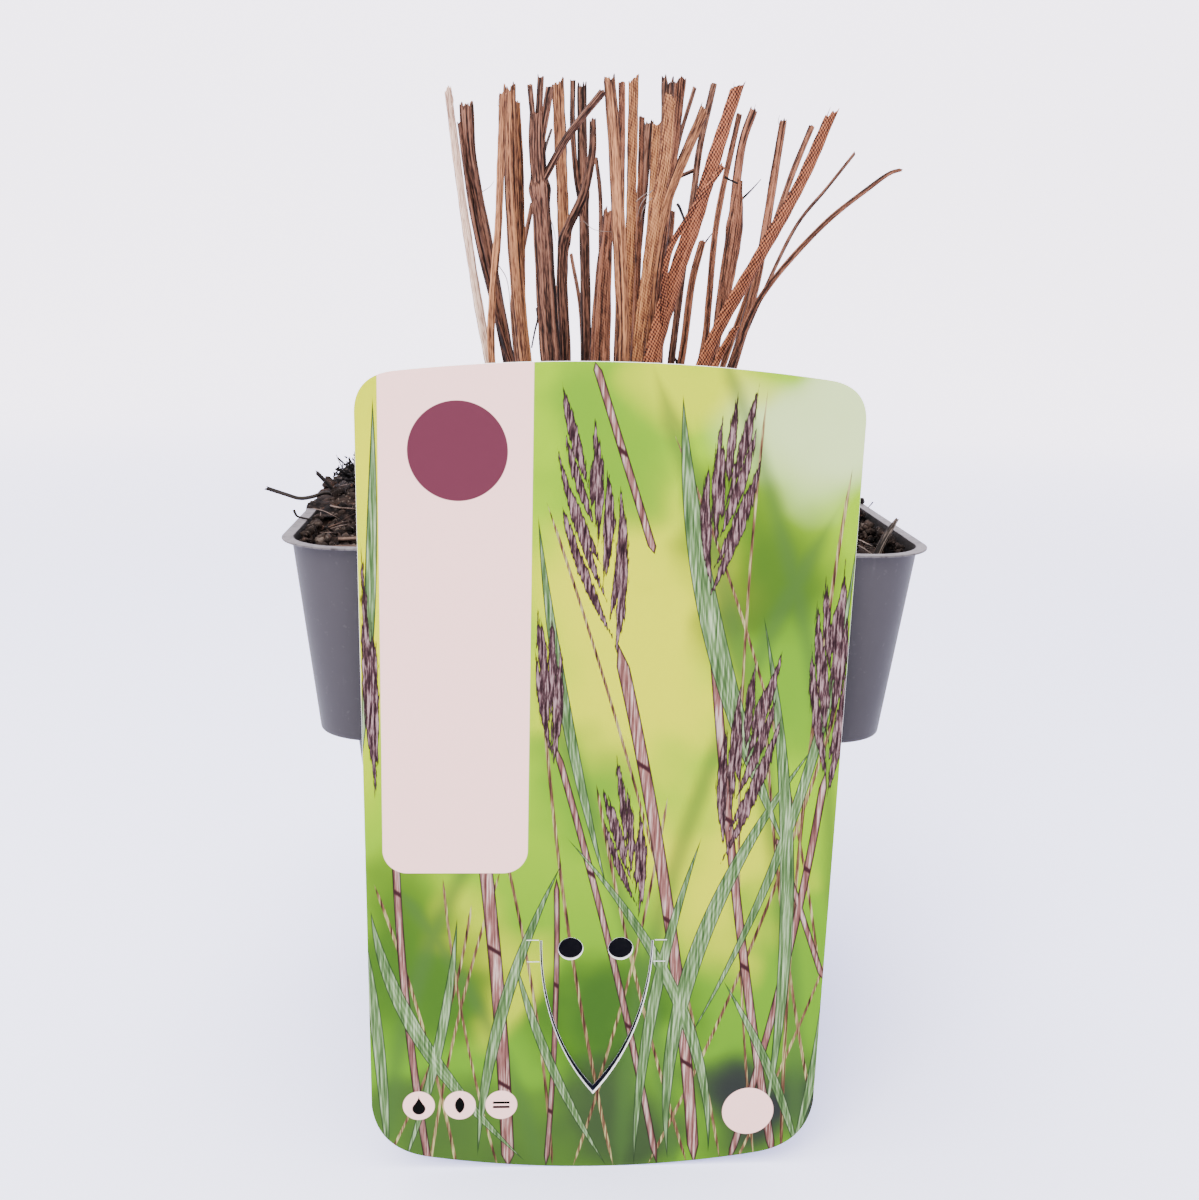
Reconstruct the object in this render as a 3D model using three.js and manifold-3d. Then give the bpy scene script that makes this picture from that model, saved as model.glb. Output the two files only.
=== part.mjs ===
// Potted big bluestem: a square nursery pot filled with soil, a clump of cut, dry
// grass stems that stand in it, and a plain printed label card that leans on the rim.
// Millimetres, +Z up. The origin is the centre of the pot's base, on the floor, and
// -Y is the front, where the label stands.
import * as THREE from "three";
import { mergeVertices } from "three/addons/utils/BufferGeometryUtils.js";
import Module from "manifold-3d";

const wasm = await Module();
wasm.setup();

// Driving dimensions of the pot
const RIM_WIDTH = 90;
const RIM_HEIGHT = 92;
const RIM_LIP = 1.7;
const LIP_DEPTH = 0.9;
const LIP_ROUND = 0.25;
const EDGE_ROUND = 0.4;
const WALL = 1.0;
const FLOOR = 1.6;
const COLLAR_FOOT_HEIGHT = 64;
const COLLAR_FOOT_WIDTH = 81;
const SHOULDER_DEPTH = 1.6;
const BODY_TOP_WIDTH = 72;
const BASE_WIDTH = 59.6;
const RIM_CORNER = 9.5;
const FOOT_CORNER = 6.5;
const BASE_CORNER = 6;
const DRAIN_HOLE_RADIUS = 3.5;
const DRAIN_HOLE_OFFSET = 16;

// Clearance that touching pieces keep
const GAP = 0.3;

// Driving dimensions of the soil
const SOIL_EDGE_DROP = 2.6;
const CROWN_RISE = 3.6;
const CROWN_SPREAD = 17;
const HEAP = { x: -36, y: -5, rise: 5.5, spread: 8.5 };
const CLODS = { count: 90, seed: 7, rise: [0.3, 1.3], spread: [1.6, 3.8] };
const SOIL_RINGS = 13;
const INNER_RING_ROUND = 30;
const RIGHT_DIP = 1.6;
const ROOT_DEPTH = 8;
const CROWN_LEVEL = RIM_HEIGHT + 0.5;

// Driving dimensions of the label card
const CARD_HEIGHT = 117;
const CARD_TOP_WIDTH = 66.4;
const CARD_FOOT_WIDTH = 64.6;
const CARD_SHIFT = -0.5;
const CARD_THICKNESS = 0.6;
const CARD_TOP_ARCH = 1.7;
const CARD_FOOT_ARCH = 1.9;
const CARD_TOP_CORNER = 5.5;
const CARD_FOOT_CORNER = 8.5;
const CARD_LEAN = THREE.MathUtils.degToRad(1);
const EYELETS = { x: [-4, 3.1], height: 35, radius: 1.75 };
const TONGUE = { top: 36.3, tip: 12.4, middle: -0.3, halfTop: 7.8, halfMid: 5.6, slit: 0.4 };
const TONGUE_PUSH = THREE.MathUtils.degToRad(3);

// Shape of the dry stems: thickness and cross arch of a blade, depth of a flute, and
// how far a joint swells and over what length
const BLADE_THICKNESS = 0.7;
const BLADE_ARCH = 0.16;
const FLUTE_DEPTH = 0.84;
const JOINT_SWELL = 0.22;
const JOINT_SPAN = 1.6;
const RAGGED_POINTS = 12;
const GOLDEN_ANGLE = Math.PI * (3 - Math.sqrt(5));

const TINTS = {
  cream: 0xe6d6c6,
  peach: 0xd9b08f,
  tan: 0xc39a78,
  orange: 0xb9805f,
  brown: 0x8a6350,
  dark: 0x5b3d33,
};

// One stem, blade or stalk each: where it leaves the soil (foot), the points that it
// passes on its way up (route), its width at the foot and at the cut end, and the way
// that its flat side faces, in degrees from the front. Parts torn off the same stem
// are listed under torn, and are one body with it.
const STEMS = [
  { name: "blade_pale_left", form: "blade", tint: "cream", width: [1.8, 1.1], face: 14, cut: 0.4,
    foot: [-12, -8], route: [[-17.5, -9, 115], [-21, -11, 135], [-23.5, -13, 153.5]] },
  { name: "culm_dark_left", form: "culm", tint: "dark", width: [1.7, 2.2], jag: 1.2,
    foot: [-10.5, -2], route: [[-15, -3, 117], [-18, -5, 132], [-20.5, -7, 144.5], [-21, -8, 152]],
    torn: [{ form: "strand", width: [0.9, 0.9],
      route: [[-13.8, -3, 113], [-17.8, -6, 126.5], [-20.2, -7.2, 137], [-22, -8.2, 149.5]] }] },
  { name: "blade_tan_left", form: "blade", tint: "tan", width: [1.2, 1.1], face: -10, cut: 0.5,
    foot: [-13, -11], route: [[-17, -12, 115.5], [-16, -15, 136], [-15.5, -18, 152.5]] },
  { name: "culm_tan_left", form: "culm", tint: "tan", width: [2.4, 1.8], jag: 1.0,
    foot: [-8.5, -7], route: [[-12, -8, 115.5], [-14, -10, 137], [-14.6, -12, 154]],
    torn: [{ form: "blade", width: [1.1, 0.9], face: 20,
      route: [[-12.3, -7.6, 120], [-12.9, -8, 143], [-13.5, -9, 152.5]] }] },
  { name: "stalk_slanting", form: "strand", tint: "dark", width: [0.8, 0.7],
    foot: [-10.5, 3.5], route: [[-14, 4, 123.5], [-12.5, 5, 131.5], [-11, 6, 139]] },
  { name: "culm_fluted", form: "fluted", tint: "dark", width: [3.2, 1.9], jag: 0.6, node: 140,
    foot: [-5, -10.5],
    route: [[-8, -10, 116], [-9.5, -12, 134], [-10.5, -13.5, 145.5], [-10.6, -14, 150.5]],
    torn: [
      { form: "strand", width: [0.9, 0.8], route: [[-10.7, -13.8, 146], [-11.7, -14.4, 154.3]] },
      { form: "strand", width: [1.0, 1.0], route: [[-10.5, -13.8, 146], [-10.1, -14.2, 155.5]] },
      { form: "strand", width: [1.0, 1.2], route: [[-10.2, -13.6, 145], [-8.8, -14.4, 154]] },
      { form: "strand", width: [1.1, 1.1],
        route: [[-10, -13, 140.5], [-6, -14.6, 147.5], [-1.2, -16, 153.5]] },
    ] },
  { name: "culm_with_joint", form: "culm", tint: "dark", width: [2.0, 0.9], jag: 0.5, node: 133,
    foot: [-4.5, -5.5],
    route: [[-5.6, -5, 116], [-6, -4, 133], [-3.2, -4, 140], [-2, -4, 146], [-2, -4, 151]] },
  { name: "blade_tan_middle", form: "blade", tint: "tan", width: [1.6, 2.0], face: -6, cut: 0.6,
    foot: [-5.5, 0.5], route: [[-6.2, 2, 120], [-6, 2, 134], [-6.6, 2, 146], [-7.3, 2, 157]] },
  { name: "culm_dark_middle", form: "culm", tint: "dark", width: [1.8, 1.4], jag: 1.0, node: 141,
    foot: [-1.5, 4], route: [[-1.8, 4, 115], [-2.5, 6, 135], [-3, 7, 146.5], [-3.3, 8, 157.5]],
    torn: [{ form: "strand", width: [0.9, 0.8],
      route: [[-2.6, 5.8, 137], [-3.9, 6, 143], [-4.7, 6.5, 151], [-4.8, 7, 158]] }] },
  { name: "stalk_thin_middle", form: "strand", tint: "dark", width: [0.8, 0.6],
    foot: [0.5, 8.5], route: [[0.5, 9, 124], [0.3, 12, 141], [-0.5, 13, 147]] },
  { name: "stalk_spike", form: "strand", tint: "dark", width: [0.9, 0.6],
    foot: [-2, 9.5], route: [[-2.5, 10, 121], [-4.3, 14, 131.5]] },
  { name: "culm_brown_low", form: "culm", tint: "brown", width: [3.0, 1.4], jag: 1.4,
    foot: [0, -1.5], route: [[0.4, -1, 115.5], [0.6, 0, 128], [1.1, 0, 138]] },
  { name: "culm_tan_middle", form: "culm", tint: "tan", width: [2.1, 1.5], jag: 0.7,
    foot: [1, -11.5], route: [[3, -11, 116], [1.6, -13, 137.5], [0.7, -14, 147.5], [-0.3, -15, 155.5]] },
  { name: "stalk_brown_middle", form: "strand", tint: "brown", width: [1.1, 1.0],
    foot: [3, 3.5], route: [[3.3, 3, 128], [3, 3, 151.5], [2.8, 3, 157.5]] },
  { name: "blade_pale_middle", form: "blade", tint: "peach", width: [1.5, 1.6], face: 8, cut: 0.7,
    foot: [3.5, -5.5], route: [[4.2, -6, 130], [4, -7, 143.5], [3.8, -8, 156.5]] },
  { name: "stalk_brown_back", form: "strand", tint: "brown", width: [1.1, 0.9],
    foot: [5.8, 6], route: [[6.5, 6, 130.5], [6.5, 7, 145], [6.5, 8, 153]] },
  { name: "culm_dark_back", form: "culm", tint: "dark", width: [1.4, 1.6], jag: 0.8,
    foot: [4.5, 10], route: [[5.6, 10, 115], [6.5, 12, 130], [7.7, 14, 145], [8.3, 15.5, 153]] },
  { name: "blade_pale_back", form: "blade", tint: "peach", width: [1.3, 1.5], face: 5, cut: 0.3,
    foot: [7, 2], route: [[7.9, 2.5, 128], [8.5, 4, 146], [8.6, 4, 151.5]] },
  { name: "blade_peach", form: "blade", tint: "peach", width: [2.3, 1.8], face: 10, cut: -0.7,
    foot: [4.5, -9.5], route: [[5.6, -10, 116], [7.2, -13, 136], [8.2, -15, 144.5], [8.6, -16, 153]] },
  { name: "culm_dark_top", form: "culm", tint: "dark", width: [1.4, 1.8], jag: 1.3,
    foot: [8.5, 6], route: [[9.3, 6.5, 130.5], [10.7, 9, 149.5], [10.7, 10, 159]] },
  { name: "blade_brown_patterned", form: "blade", tint: "brown", width: [1.5, 1.8], face: -12, cut: 0.5,
    foot: [7.5, -2], route: [[8.7, -2, 124.5], [10.2, -1, 141], [11, -1, 150], [11.5, -1, 157.5]] },
  { name: "stalk_dark_back", form: "strand", tint: "dark", width: [0.8, 0.7],
    foot: [7.5, 10.5], route: [[11.8, 12, 137], [13.2, 15, 149], [16, 17, 159]] },
  { name: "blade_flat_pale", form: "blade", tint: "tan", width: [1.2, 1.6], face: 6, cut: -0.8,
    foot: [7.5, -6], route: [[7.9, -8, 129], [9.4, -8, 138.5], [11.2, -8, 144], [14.6, -8, 152.5]] },
  { name: "stalk_dark_right", form: "strand", tint: "dark", width: [1.1, 1.0],
    foot: [11, 6], route: [[14, 7, 129], [15.6, 9, 142], [16.3, 10, 148.5], [18.5, 12, 159]],
    torn: [{ form: "strand", width: [0.7, 0.6], route: [[16, 9.6, 145.4], [12.9, 9.4, 144]] }] },
  { name: "blade_broad_orange", form: "blade", tint: "orange", width: [3.4, 1.9], face: 16, cut: 0.8,
    foot: [6.5, -13],
    route: [[7.6, -12.6, 115], [10.4, -15, 128], [13, -17, 137], [14.7, -18, 143.5], [17.8, -19, 154.5]],
    torn: [{ form: "blade", width: [1.0, 0.8], face: 10,
      route: [[8.8, -13.8, 121], [8.9, -17.5, 131], [11.4, -20, 136.5], [15.9, -21, 143.5]] }] },
  { name: "culm_sheathed", form: "culm", tint: "brown", width: [1.7, 1.3], jag: 0.6, node: 136,
    foot: [12.5, -4.5],
    route: [[18, -5, 116], [19.2, -3, 126], [20.5, -1, 136], [22, 1, 149], [23.7, 2, 154]],
    torn: [{ form: "blade", width: [1.2, 2.4], face: 8,
      route: [[18.7, -5, 121], [19.6, -3.9, 128], [20.7, -2.2, 137]] },
    { form: "blade", width: [2.4, 1.2], face: 8,
      route: [[20.5, -2.5, 135.5], [20.8, -1.9, 138.5], [21.3, -1, 142]] }] },
  { name: "stalk_brown_right", form: "strand", tint: "brown", width: [1.3, 0.8],
    foot: [13, 5.5], route: [[18, 6, 117], [18.6, 7, 124.5], [19.6, 9, 137], [23, 12, 154.5]] },
  { name: "stalk_low_back", form: "strand", tint: "brown", width: [1.3, 1.2],
    foot: [10.5, 9.3], route: [[14.6, 9.5, 114], [16.3, 12, 127.5], [18, 14, 134]] },
  { name: "culm_right", form: "culm", tint: "brown", width: [2.0, 1.2], jag: 0.4,
    foot: [15.5, -1], route: [[22.3, -1, 116], [25.6, 2, 128.5], [28.4, 6, 146], [29.4, 7, 153]] },
  { name: "stalk_thin_right", form: "strand", tint: "brown", width: [1.1, 1.0],
    foot: [16, 5], route: [[22.3, 6, 117], [29.2, 8, 137], [32.3, 11, 145.5], [35.4, 13, 153]] },
  { name: "blade_broad_right", form: "blade", tint: "orange", width: [2.6, 2.2], face: 18, cut: 1.6,
    foot: [10.5, -9], route: [[17, -7.6, 117], [24, -11, 132], [29, -12, 142], [33, -12, 152]] },
  { name: "stalk_wiry", form: "strand", tint: "dark", width: [0.9, 0.65],
    foot: [17, 1.5],
    route: [[23, 2, 116], [26.8, 3, 125.5], [32.5, 6, 137], [37.5, 8, 143], [42, 9, 148.7]] },
  { name: "stalk_hooked", form: "strand", tint: "brown", width: [1.3, 0.65],
    foot: [15.5, -4.7],
    route: [[21.4, -4.5, 115], [25, -3, 124.3], [34.5, -3, 136.2], [41.7, -3, 142.3], [45, -3, 144.7],
      [46.6, -3, 145.2]] },
  { name: "blade_low_front", form: "blade", tint: "orange", width: [1.5, 1.0], face: 20, cut: 0.9,
    foot: [11, -13], route: [[17.2, -16, 116], [19.2, -19, 121]] },
  { name: "stalk_short_back", form: "strand", tint: "brown", width: [1.0, 0.9],
    foot: [11.5, 12.5], route: [[11.7, 13, 130.5], [12.7, 15, 135.5], [13, 16, 139]] },
];

// Loose pieces of old root, twig, bark and leaf. Those that lie on the soil have a
// route of [x, y] alone, and the others stick out of it.
const SCRAPS = [
  { name: "root_fibre", form: "strand", tint: "dark", width: [0.9, 0.6],
    route: [[-37, -8, 89], [-41.5, -8, 92.9], [-45, -8, 93], [-49.5, -8, 92.9], [-52.5, -8, 94]] },
  { name: "twig_left", form: "strand", tint: "dark", width: [1.0, 0.7],
    route: [[-37.5, -10.5, 90], [-42.5, -11, 95.2], [-44.8, -11.5, 97.4]] },
  { name: "bark_chip", form: "blade", tint: "brown", width: [1.4, 1.0], face: 40,
    route: [[38.6, -34, 84], [39.8, -32.5, 90.4], [42.3, -30, 94.3]] },
  { name: "leaf_scrap", form: "blade", tint: "orange", width: [2.6, 2.2], lying: true,
    route: [[32, -24], [33.6, -30], [35, -37]] },
  { name: "straw_long", form: "blade", tint: "tan", width: [1.3, 1.0], lying: true,
    route: [[-39, -34], [-35.5, -33], [-31, -34.5]] },
  { name: "straw_short", form: "blade", tint: "cream", width: [1.2, 0.9], lying: true,
    route: [[-38.5, -28], [-35, -27.5], [-31.5, -29]] },
];
const TUFT = {
  x: -36, y: -4.5, foot: 93.3, core: 2.3, reach: 5.6, spikes: 30, spikeRadius: 0.6, lowest: 0.34,
};

// Repeatable random numbers from 0 to 1
function seeded(seed) {
  let state = seed;
  return () => {
    state = (state * 1664525 + 1013904223) % 4294967296;
    return state / 4294967296;
  };
}

// A closed geometry made into a solid: doubled points merged, empty triangles dropped
function solid(geometry) {
  geometry.deleteAttribute("normal");
  geometry.deleteAttribute("uv");
  const merged = mergeVertices(geometry, 1e-4);
  const corners = merged.index.array;
  const kept = [];
  for (let i = 0; i < corners.length; i += 3) {
    const [a, b, c] = [corners[i], corners[i + 1], corners[i + 2]];
    if (a !== b && b !== c && c !== a) kept.push(a, b, c);
  }
  return new wasm.Manifold(new wasm.Mesh({
    numProp: 3,
    vertProperties: new Float32Array(merged.attributes.position.array),
    triVerts: new Uint32Array(kept),
  }));
}

// A solid made into a named mesh of one colour
function piece(name, body, color, roughness) {
  const { vertProperties, triVerts } = body.getMesh();
  const geometry = new THREE.BufferGeometry();
  geometry.setAttribute("position", new THREE.BufferAttribute(vertProperties, 3));
  geometry.setIndex(new THREE.BufferAttribute(triVerts, 1));
  geometry.computeVertexNormals();
  const mesh = new THREE.Mesh(geometry, new THREE.MeshStandardMaterial({ color, roughness, metalness: 0 }));
  mesh.name = name;
  return mesh;
}

// Point number `step` of a square with rounded corners, counted round from the middle
// of a side. Each side has SIDE_STEPS steps and each corner CORNER_STEPS.
const SIDE_STEPS = 6;
const CORNER_STEPS = 6;
const ROUND_STEPS = 4 * (SIDE_STEPS + CORNER_STEPS);
function squarePoint(step, half, corner) {
  const perSide = SIDE_STEPS + CORNER_STEPS;
  const side = Math.floor(step / perSide) % 4;
  const within = step % perSide;
  const reach = half - corner;
  const local = new THREE.Vector2();
  if (within < SIDE_STEPS) {
    local.set(half, reach * ((2 * within) / SIDE_STEPS - 1));
  } else {
    const angle = ((within - SIDE_STEPS) / CORNER_STEPS) * (Math.PI / 2);
    local.set(reach + corner * Math.cos(angle), reach + corner * Math.sin(angle));
  }
  return local.rotateAround(new THREE.Vector2(), side * (Math.PI / 2));
}

// A body turned round the upright axis like a lathe, but on rounded squares. Each row
// is [half width, height, corner radius]; lift moves a point's height by its place.
function squareLathe(rows, lift = () => 0) {
  const profile = rows.map(([half, height]) => new THREE.Vector2(half, height));
  const geometry = new THREE.LatheGeometry(profile, ROUND_STEPS);
  const spot = geometry.attributes.position;
  for (let i = 0; i < spot.count; i += 1) {
    const [half, height, corner, lifted] = rows[i % rows.length];
    const flat = squarePoint(Math.floor(i / rows.length) % ROUND_STEPS, half, corner);
    spot.setXYZ(i, flat.x, flat.y, height + (lifted ? lift(flat.x, flat.y) : 0));
  }
  return solid(geometry);
}

const HALF_RIM = RIM_WIDTH / 2;
const COLLAR_TOP = RIM_HEIGHT - LIP_DEPTH;
const HALF_COLLAR_TOP = HALF_RIM - RIM_LIP;
const HALF_COLLAR_FOOT = COLLAR_FOOT_WIDTH / 2;
const HALF_BODY_TOP = BODY_TOP_WIDTH / 2;
const HALF_BASE = BASE_WIDTH / 2;
const SHOULDER = COLLAR_FOOT_HEIGHT - SHOULDER_DEPTH;

// The pot: base, narrower body, wide collar and a thin lip, with an even wall
function buildPot() {
  const rows = [
    [0, 0, 0],
    [HALF_BASE - 3 * EDGE_ROUND, 0, BASE_CORNER - 3 * EDGE_ROUND],
    [HALF_BASE - EDGE_ROUND, EDGE_ROUND, BASE_CORNER - EDGE_ROUND],
    [HALF_BASE, 3 * EDGE_ROUND, BASE_CORNER],
    [HALF_BODY_TOP, SHOULDER, FOOT_CORNER - EDGE_ROUND],
    [HALF_COLLAR_FOOT - 2 * EDGE_ROUND, COLLAR_FOOT_HEIGHT - 2 * EDGE_ROUND, FOOT_CORNER],
    [HALF_COLLAR_FOOT, COLLAR_FOOT_HEIGHT, FOOT_CORNER],
    [HALF_COLLAR_TOP, COLLAR_TOP, RIM_CORNER - RIM_LIP],
    [HALF_RIM - LIP_ROUND, COLLAR_TOP, RIM_CORNER - LIP_ROUND],
    [HALF_RIM, COLLAR_TOP + LIP_ROUND, RIM_CORNER],
    [HALF_RIM, RIM_HEIGHT - LIP_ROUND, RIM_CORNER],
    [HALF_RIM - LIP_ROUND, RIM_HEIGHT, RIM_CORNER - LIP_ROUND],
    [HALF_COLLAR_TOP + EDGE_ROUND, RIM_HEIGHT, RIM_CORNER - RIM_LIP],
    [HALF_COLLAR_TOP - WALL, RIM_HEIGHT - 2 * EDGE_ROUND, RIM_CORNER - RIM_LIP - WALL],
    [HALF_COLLAR_FOOT - WALL, COLLAR_FOOT_HEIGHT + WALL, FOOT_CORNER - WALL],
    [HALF_BODY_TOP - WALL, SHOULDER + WALL, FOOT_CORNER - WALL - EDGE_ROUND],
    [HALF_BASE - WALL, FLOOR + 2 * EDGE_ROUND, BASE_CORNER - WALL],
    [HALF_BASE - WALL - 2 * EDGE_ROUND, FLOOR, BASE_CORNER - WALL - 2 * EDGE_ROUND],
    [0, FLOOR, 0],
  ];
  let body = squareLathe(rows);
  for (const x of [-DRAIN_HOLE_OFFSET, DRAIN_HOLE_OFFSET]) {
    for (const y of [-DRAIN_HOLE_OFFSET, DRAIN_HOLE_OFFSET]) {
      const drill = new THREE.CylinderGeometry(DRAIN_HOLE_RADIUS, DRAIN_HOLE_RADIUS, 3 * FLOOR, 16);
      drill.rotateX(Math.PI / 2);
      drill.translate(x, y, FLOOR / 2);
      body = body.subtract(solid(drill));
    }
  }
  return body;
}

// Height of the soil's surface over its edge: the raised crown that the stems grow
// from, the heap at the left, the dip at the right, and clods placed at random
const clodDraw = seeded(CLODS.seed);
const clods = Array.from({ length: CLODS.count }, () => ({
  x: (clodDraw() - 0.5) * RIM_WIDTH,
  y: (clodDraw() - 0.5) * RIM_WIDTH,
  rise: THREE.MathUtils.lerp(...CLODS.rise, clodDraw()),
  spread: THREE.MathUtils.lerp(...CLODS.spread, clodDraw()),
}));
function hill(x, y, at) {
  const away = (x - at.x) ** 2 + (y - at.y) ** 2;
  return at.rise * Math.exp(-away / (2 * at.spread ** 2));
}
function soilRise(x, y) {
  const crown = hill(x, y, { x: 1, y: -1, rise: CROWN_RISE, spread: CROWN_SPREAD });
  const heap = hill(x, y, HEAP);
  const dip = RIGHT_DIP * THREE.MathUtils.smoothstep(x, 22, 42);
  const edge = Math.max(Math.abs(x), Math.abs(y));
  const calm = 1 - THREE.MathUtils.smoothstep(edge, 38, 42.5);
  const rough = clods.reduce((sum, clod) => sum + hill(x, y, clod), 0);
  return crown + heap * (0.35 + 0.65 * calm) - dip + rough * calm;
}

// The soil: it fills the pot up to its clearance from the wall
function buildSoil() {
  const level = RIM_HEIGHT - SOIL_EDGE_DROP;
  const share = (level - COLLAR_FOOT_HEIGHT) / (COLLAR_TOP - COLLAR_FOOT_HEIGHT);
  const inside = WALL + GAP;
  const halfLevel = THREE.MathUtils.lerp(HALF_COLLAR_FOOT, HALF_COLLAR_TOP, share) - inside;
  const corner = THREE.MathUtils.lerp(FOOT_CORNER, RIM_CORNER - RIM_LIP, share) - inside;
  const rows = [
    [0, FLOOR + GAP, 0],
    [HALF_BASE - inside - 3 * EDGE_ROUND, FLOOR + GAP, BASE_CORNER - inside - 3 * EDGE_ROUND],
    [HALF_BASE - inside, FLOOR + GAP + 3 * EDGE_ROUND, BASE_CORNER - inside],
    [HALF_BODY_TOP - inside, SHOULDER + 2 * GAP, FOOT_CORNER - inside - EDGE_ROUND],
    [HALF_BODY_TOP - inside, SHOULDER + WALL + 2 * GAP, FOOT_CORNER - inside - EDGE_ROUND],
    [HALF_COLLAR_FOOT - inside - GAP, COLLAR_FOOT_HEIGHT + 2 * WALL, FOOT_CORNER - inside],
    [halfLevel, level, corner, true],
  ];
  for (let ring = SOIL_RINGS - 1; ring > 0; ring -= 1) {
    const reach = ring / SOIL_RINGS;
    rows.push([halfLevel * reach, level, (corner + INNER_RING_ROUND * (1 - reach)) * reach, true]);
  }
  rows.push([0, level, 0, true]);
  return squareLathe(rows, soilRise);
}

// Steps of a strip between two points of its route
const STRIP_STEPS = 2;

// Cross sections, in millimetres, of a stem of the given width
function section(form, width, grow) {
  const shape = new THREE.Shape();
  const points = [];
  if (form === "blade") {
    const thick = BLADE_THICKNESS + 2 * grow;
    const half = width / 2 + grow;
    const arch = BLADE_ARCH * width;
    const stations = [-1, -0.4, 0.4, 1];
    const round = [...stations.map((x) => [x, -1]), ...stations.reverse().map((x) => [x, 1])];
    for (const [across, side] of round) {
      points.push([across * half, (side * thick) / 2 + arch * (across * across - 0.5)]);
    }
  } else {
    const sides = { culm: 8, fluted: 12, strand: 6 }[form];
    for (let k = 0; k < sides; k += 1) {
      const flute = form === "fluted" && k % 2 === 1 ? FLUTE_DEPTH : 1;
      const angle = (k / sides) * 2 * Math.PI;
      const radius = (width / 2) * flute + grow;
      points.push([radius * Math.cos(angle), radius * Math.sin(angle)]);
    }
  }
  points.forEach(([x, y], k) => (k === 0 ? shape.moveTo(x, y) : shape.lineTo(x, y)));
  return shape;
}

// A strip of one section carried along a smooth route. Its width runs from the first
// to the second of its widths; its flat side keeps to the way it faces.
function strip(spec, route, grow = 0) {
  const points = route.map((p) => new THREE.Vector3(...p));
  const curve = new THREE.CatmullRomCurve3(points, false, "centripetal");
  const steps = Math.max(4, STRIP_STEPS * (route.length - 1));
  const widest = Math.max(...spec.width);
  const cutting = { depth: 1, steps, bevelEnabled: false };
  const stock = new THREE.ExtrudeGeometry(section(spec.form, widest, grow), cutting);
  const facing = THREE.MathUtils.degToRad(spec.face ?? 0);
  const front = new THREE.Vector3(Math.sin(facing), -Math.cos(facing), 0);
  if (spec.lying) front.set(0, 0, 1);
  const spot = stock.attributes.position;
  const draw = seeded(31 + route.length);
  const ragged = Array.from({ length: RAGGED_POINTS }, () => 2 * draw() - 1);
  for (let i = 0; i < spot.count; i += 1) {
    const share = spot.getZ(i);
    const centre = curve.getPoint(share);
    const ahead = curve.getTangent(share);
    const side = new THREE.Vector3().crossVectors(ahead, front).normalize();
    const behind = new THREE.Vector3().crossVectors(ahead, side);
    const [x, y] = [spot.getX(i), spot.getY(i)];
    const swell = Math.exp(-(((centre.z - spec.node) / JOINT_SPAN) ** 2));
    const joint = spec.node ? JOINT_SWELL * swell : 0;
    const size = THREE.MathUtils.lerp(spec.width[0], spec.width[1], share) / widest + joint;
    const flat = spec.form === "blade" ? 1 : size;
    const slot = Math.round(((Math.atan2(y, x) / Math.PI + 1) / 2) * (RAGGED_POINTS - 1));
    const end = share === 1 ? (spec.cut ?? 0) * x + (spec.jag ?? 0) * ragged[slot] : 0;
    centre.addScaledVector(side, x * size);
    centre.addScaledVector(behind, y * flat);
    centre.addScaledVector(ahead, end);
    spot.setXYZ(i, centre.x, centre.y, centre.z);
  }
  return solid(stock);
}

// A stem with what is torn off it. With grow it is the hole that it stands in.
function buildStem(spec, grow = 0) {
  const [x, y] = spec.foot;
  const root = [x, y, CROWN_LEVEL - ROOT_DEPTH - grow];
  const neck = [x, y, CROWN_LEVEL + 1];
  let body = strip(spec, [root, neck, ...spec.route], grow);
  if (grow > 0) return body;
  for (const part of spec.torn ?? []) {
    body = body.add(strip(part, part.route));
  }
  return body;
}

// The tuft of dead roots: a small core with spikes that stand out of it all round
function buildTuft(grow = 0) {
  const core = new THREE.IcosahedronGeometry(TUFT.core + grow, 1);
  core.scale(1, 1, 1.15);
  core.translate(TUFT.x, TUFT.y, TUFT.foot + TUFT.core);
  let body = solid(core);
  if (grow > 0) return body;
  const draw = seeded(19);
  for (let i = 0; i < TUFT.spikes; i += 1) {
    const turn = i * GOLDEN_ANGLE;
    const rise = THREE.MathUtils.lerp(TUFT.lowest, 1, (i + 0.5) / TUFT.spikes);
    const level = Math.sqrt(1 - rise * rise);
    const reach = TUFT.reach * THREE.MathUtils.lerp(0.75, 1.1, draw());
    const spike = new THREE.ConeGeometry(TUFT.spikeRadius, reach, 3);
    spike.translate(0, reach / 2, 0);
    const way = new THREE.Vector3(level * Math.cos(turn), level * Math.sin(turn), rise * 1.1).normalize();
    spike.applyQuaternion(new THREE.Quaternion().setFromUnitVectors(new THREE.Vector3(0, 1, 0), way));
    spike.translate(TUFT.x, TUFT.y, TUFT.foot + TUFT.core);
    body = body.add(solid(spike));
  }
  return body;
}

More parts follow.
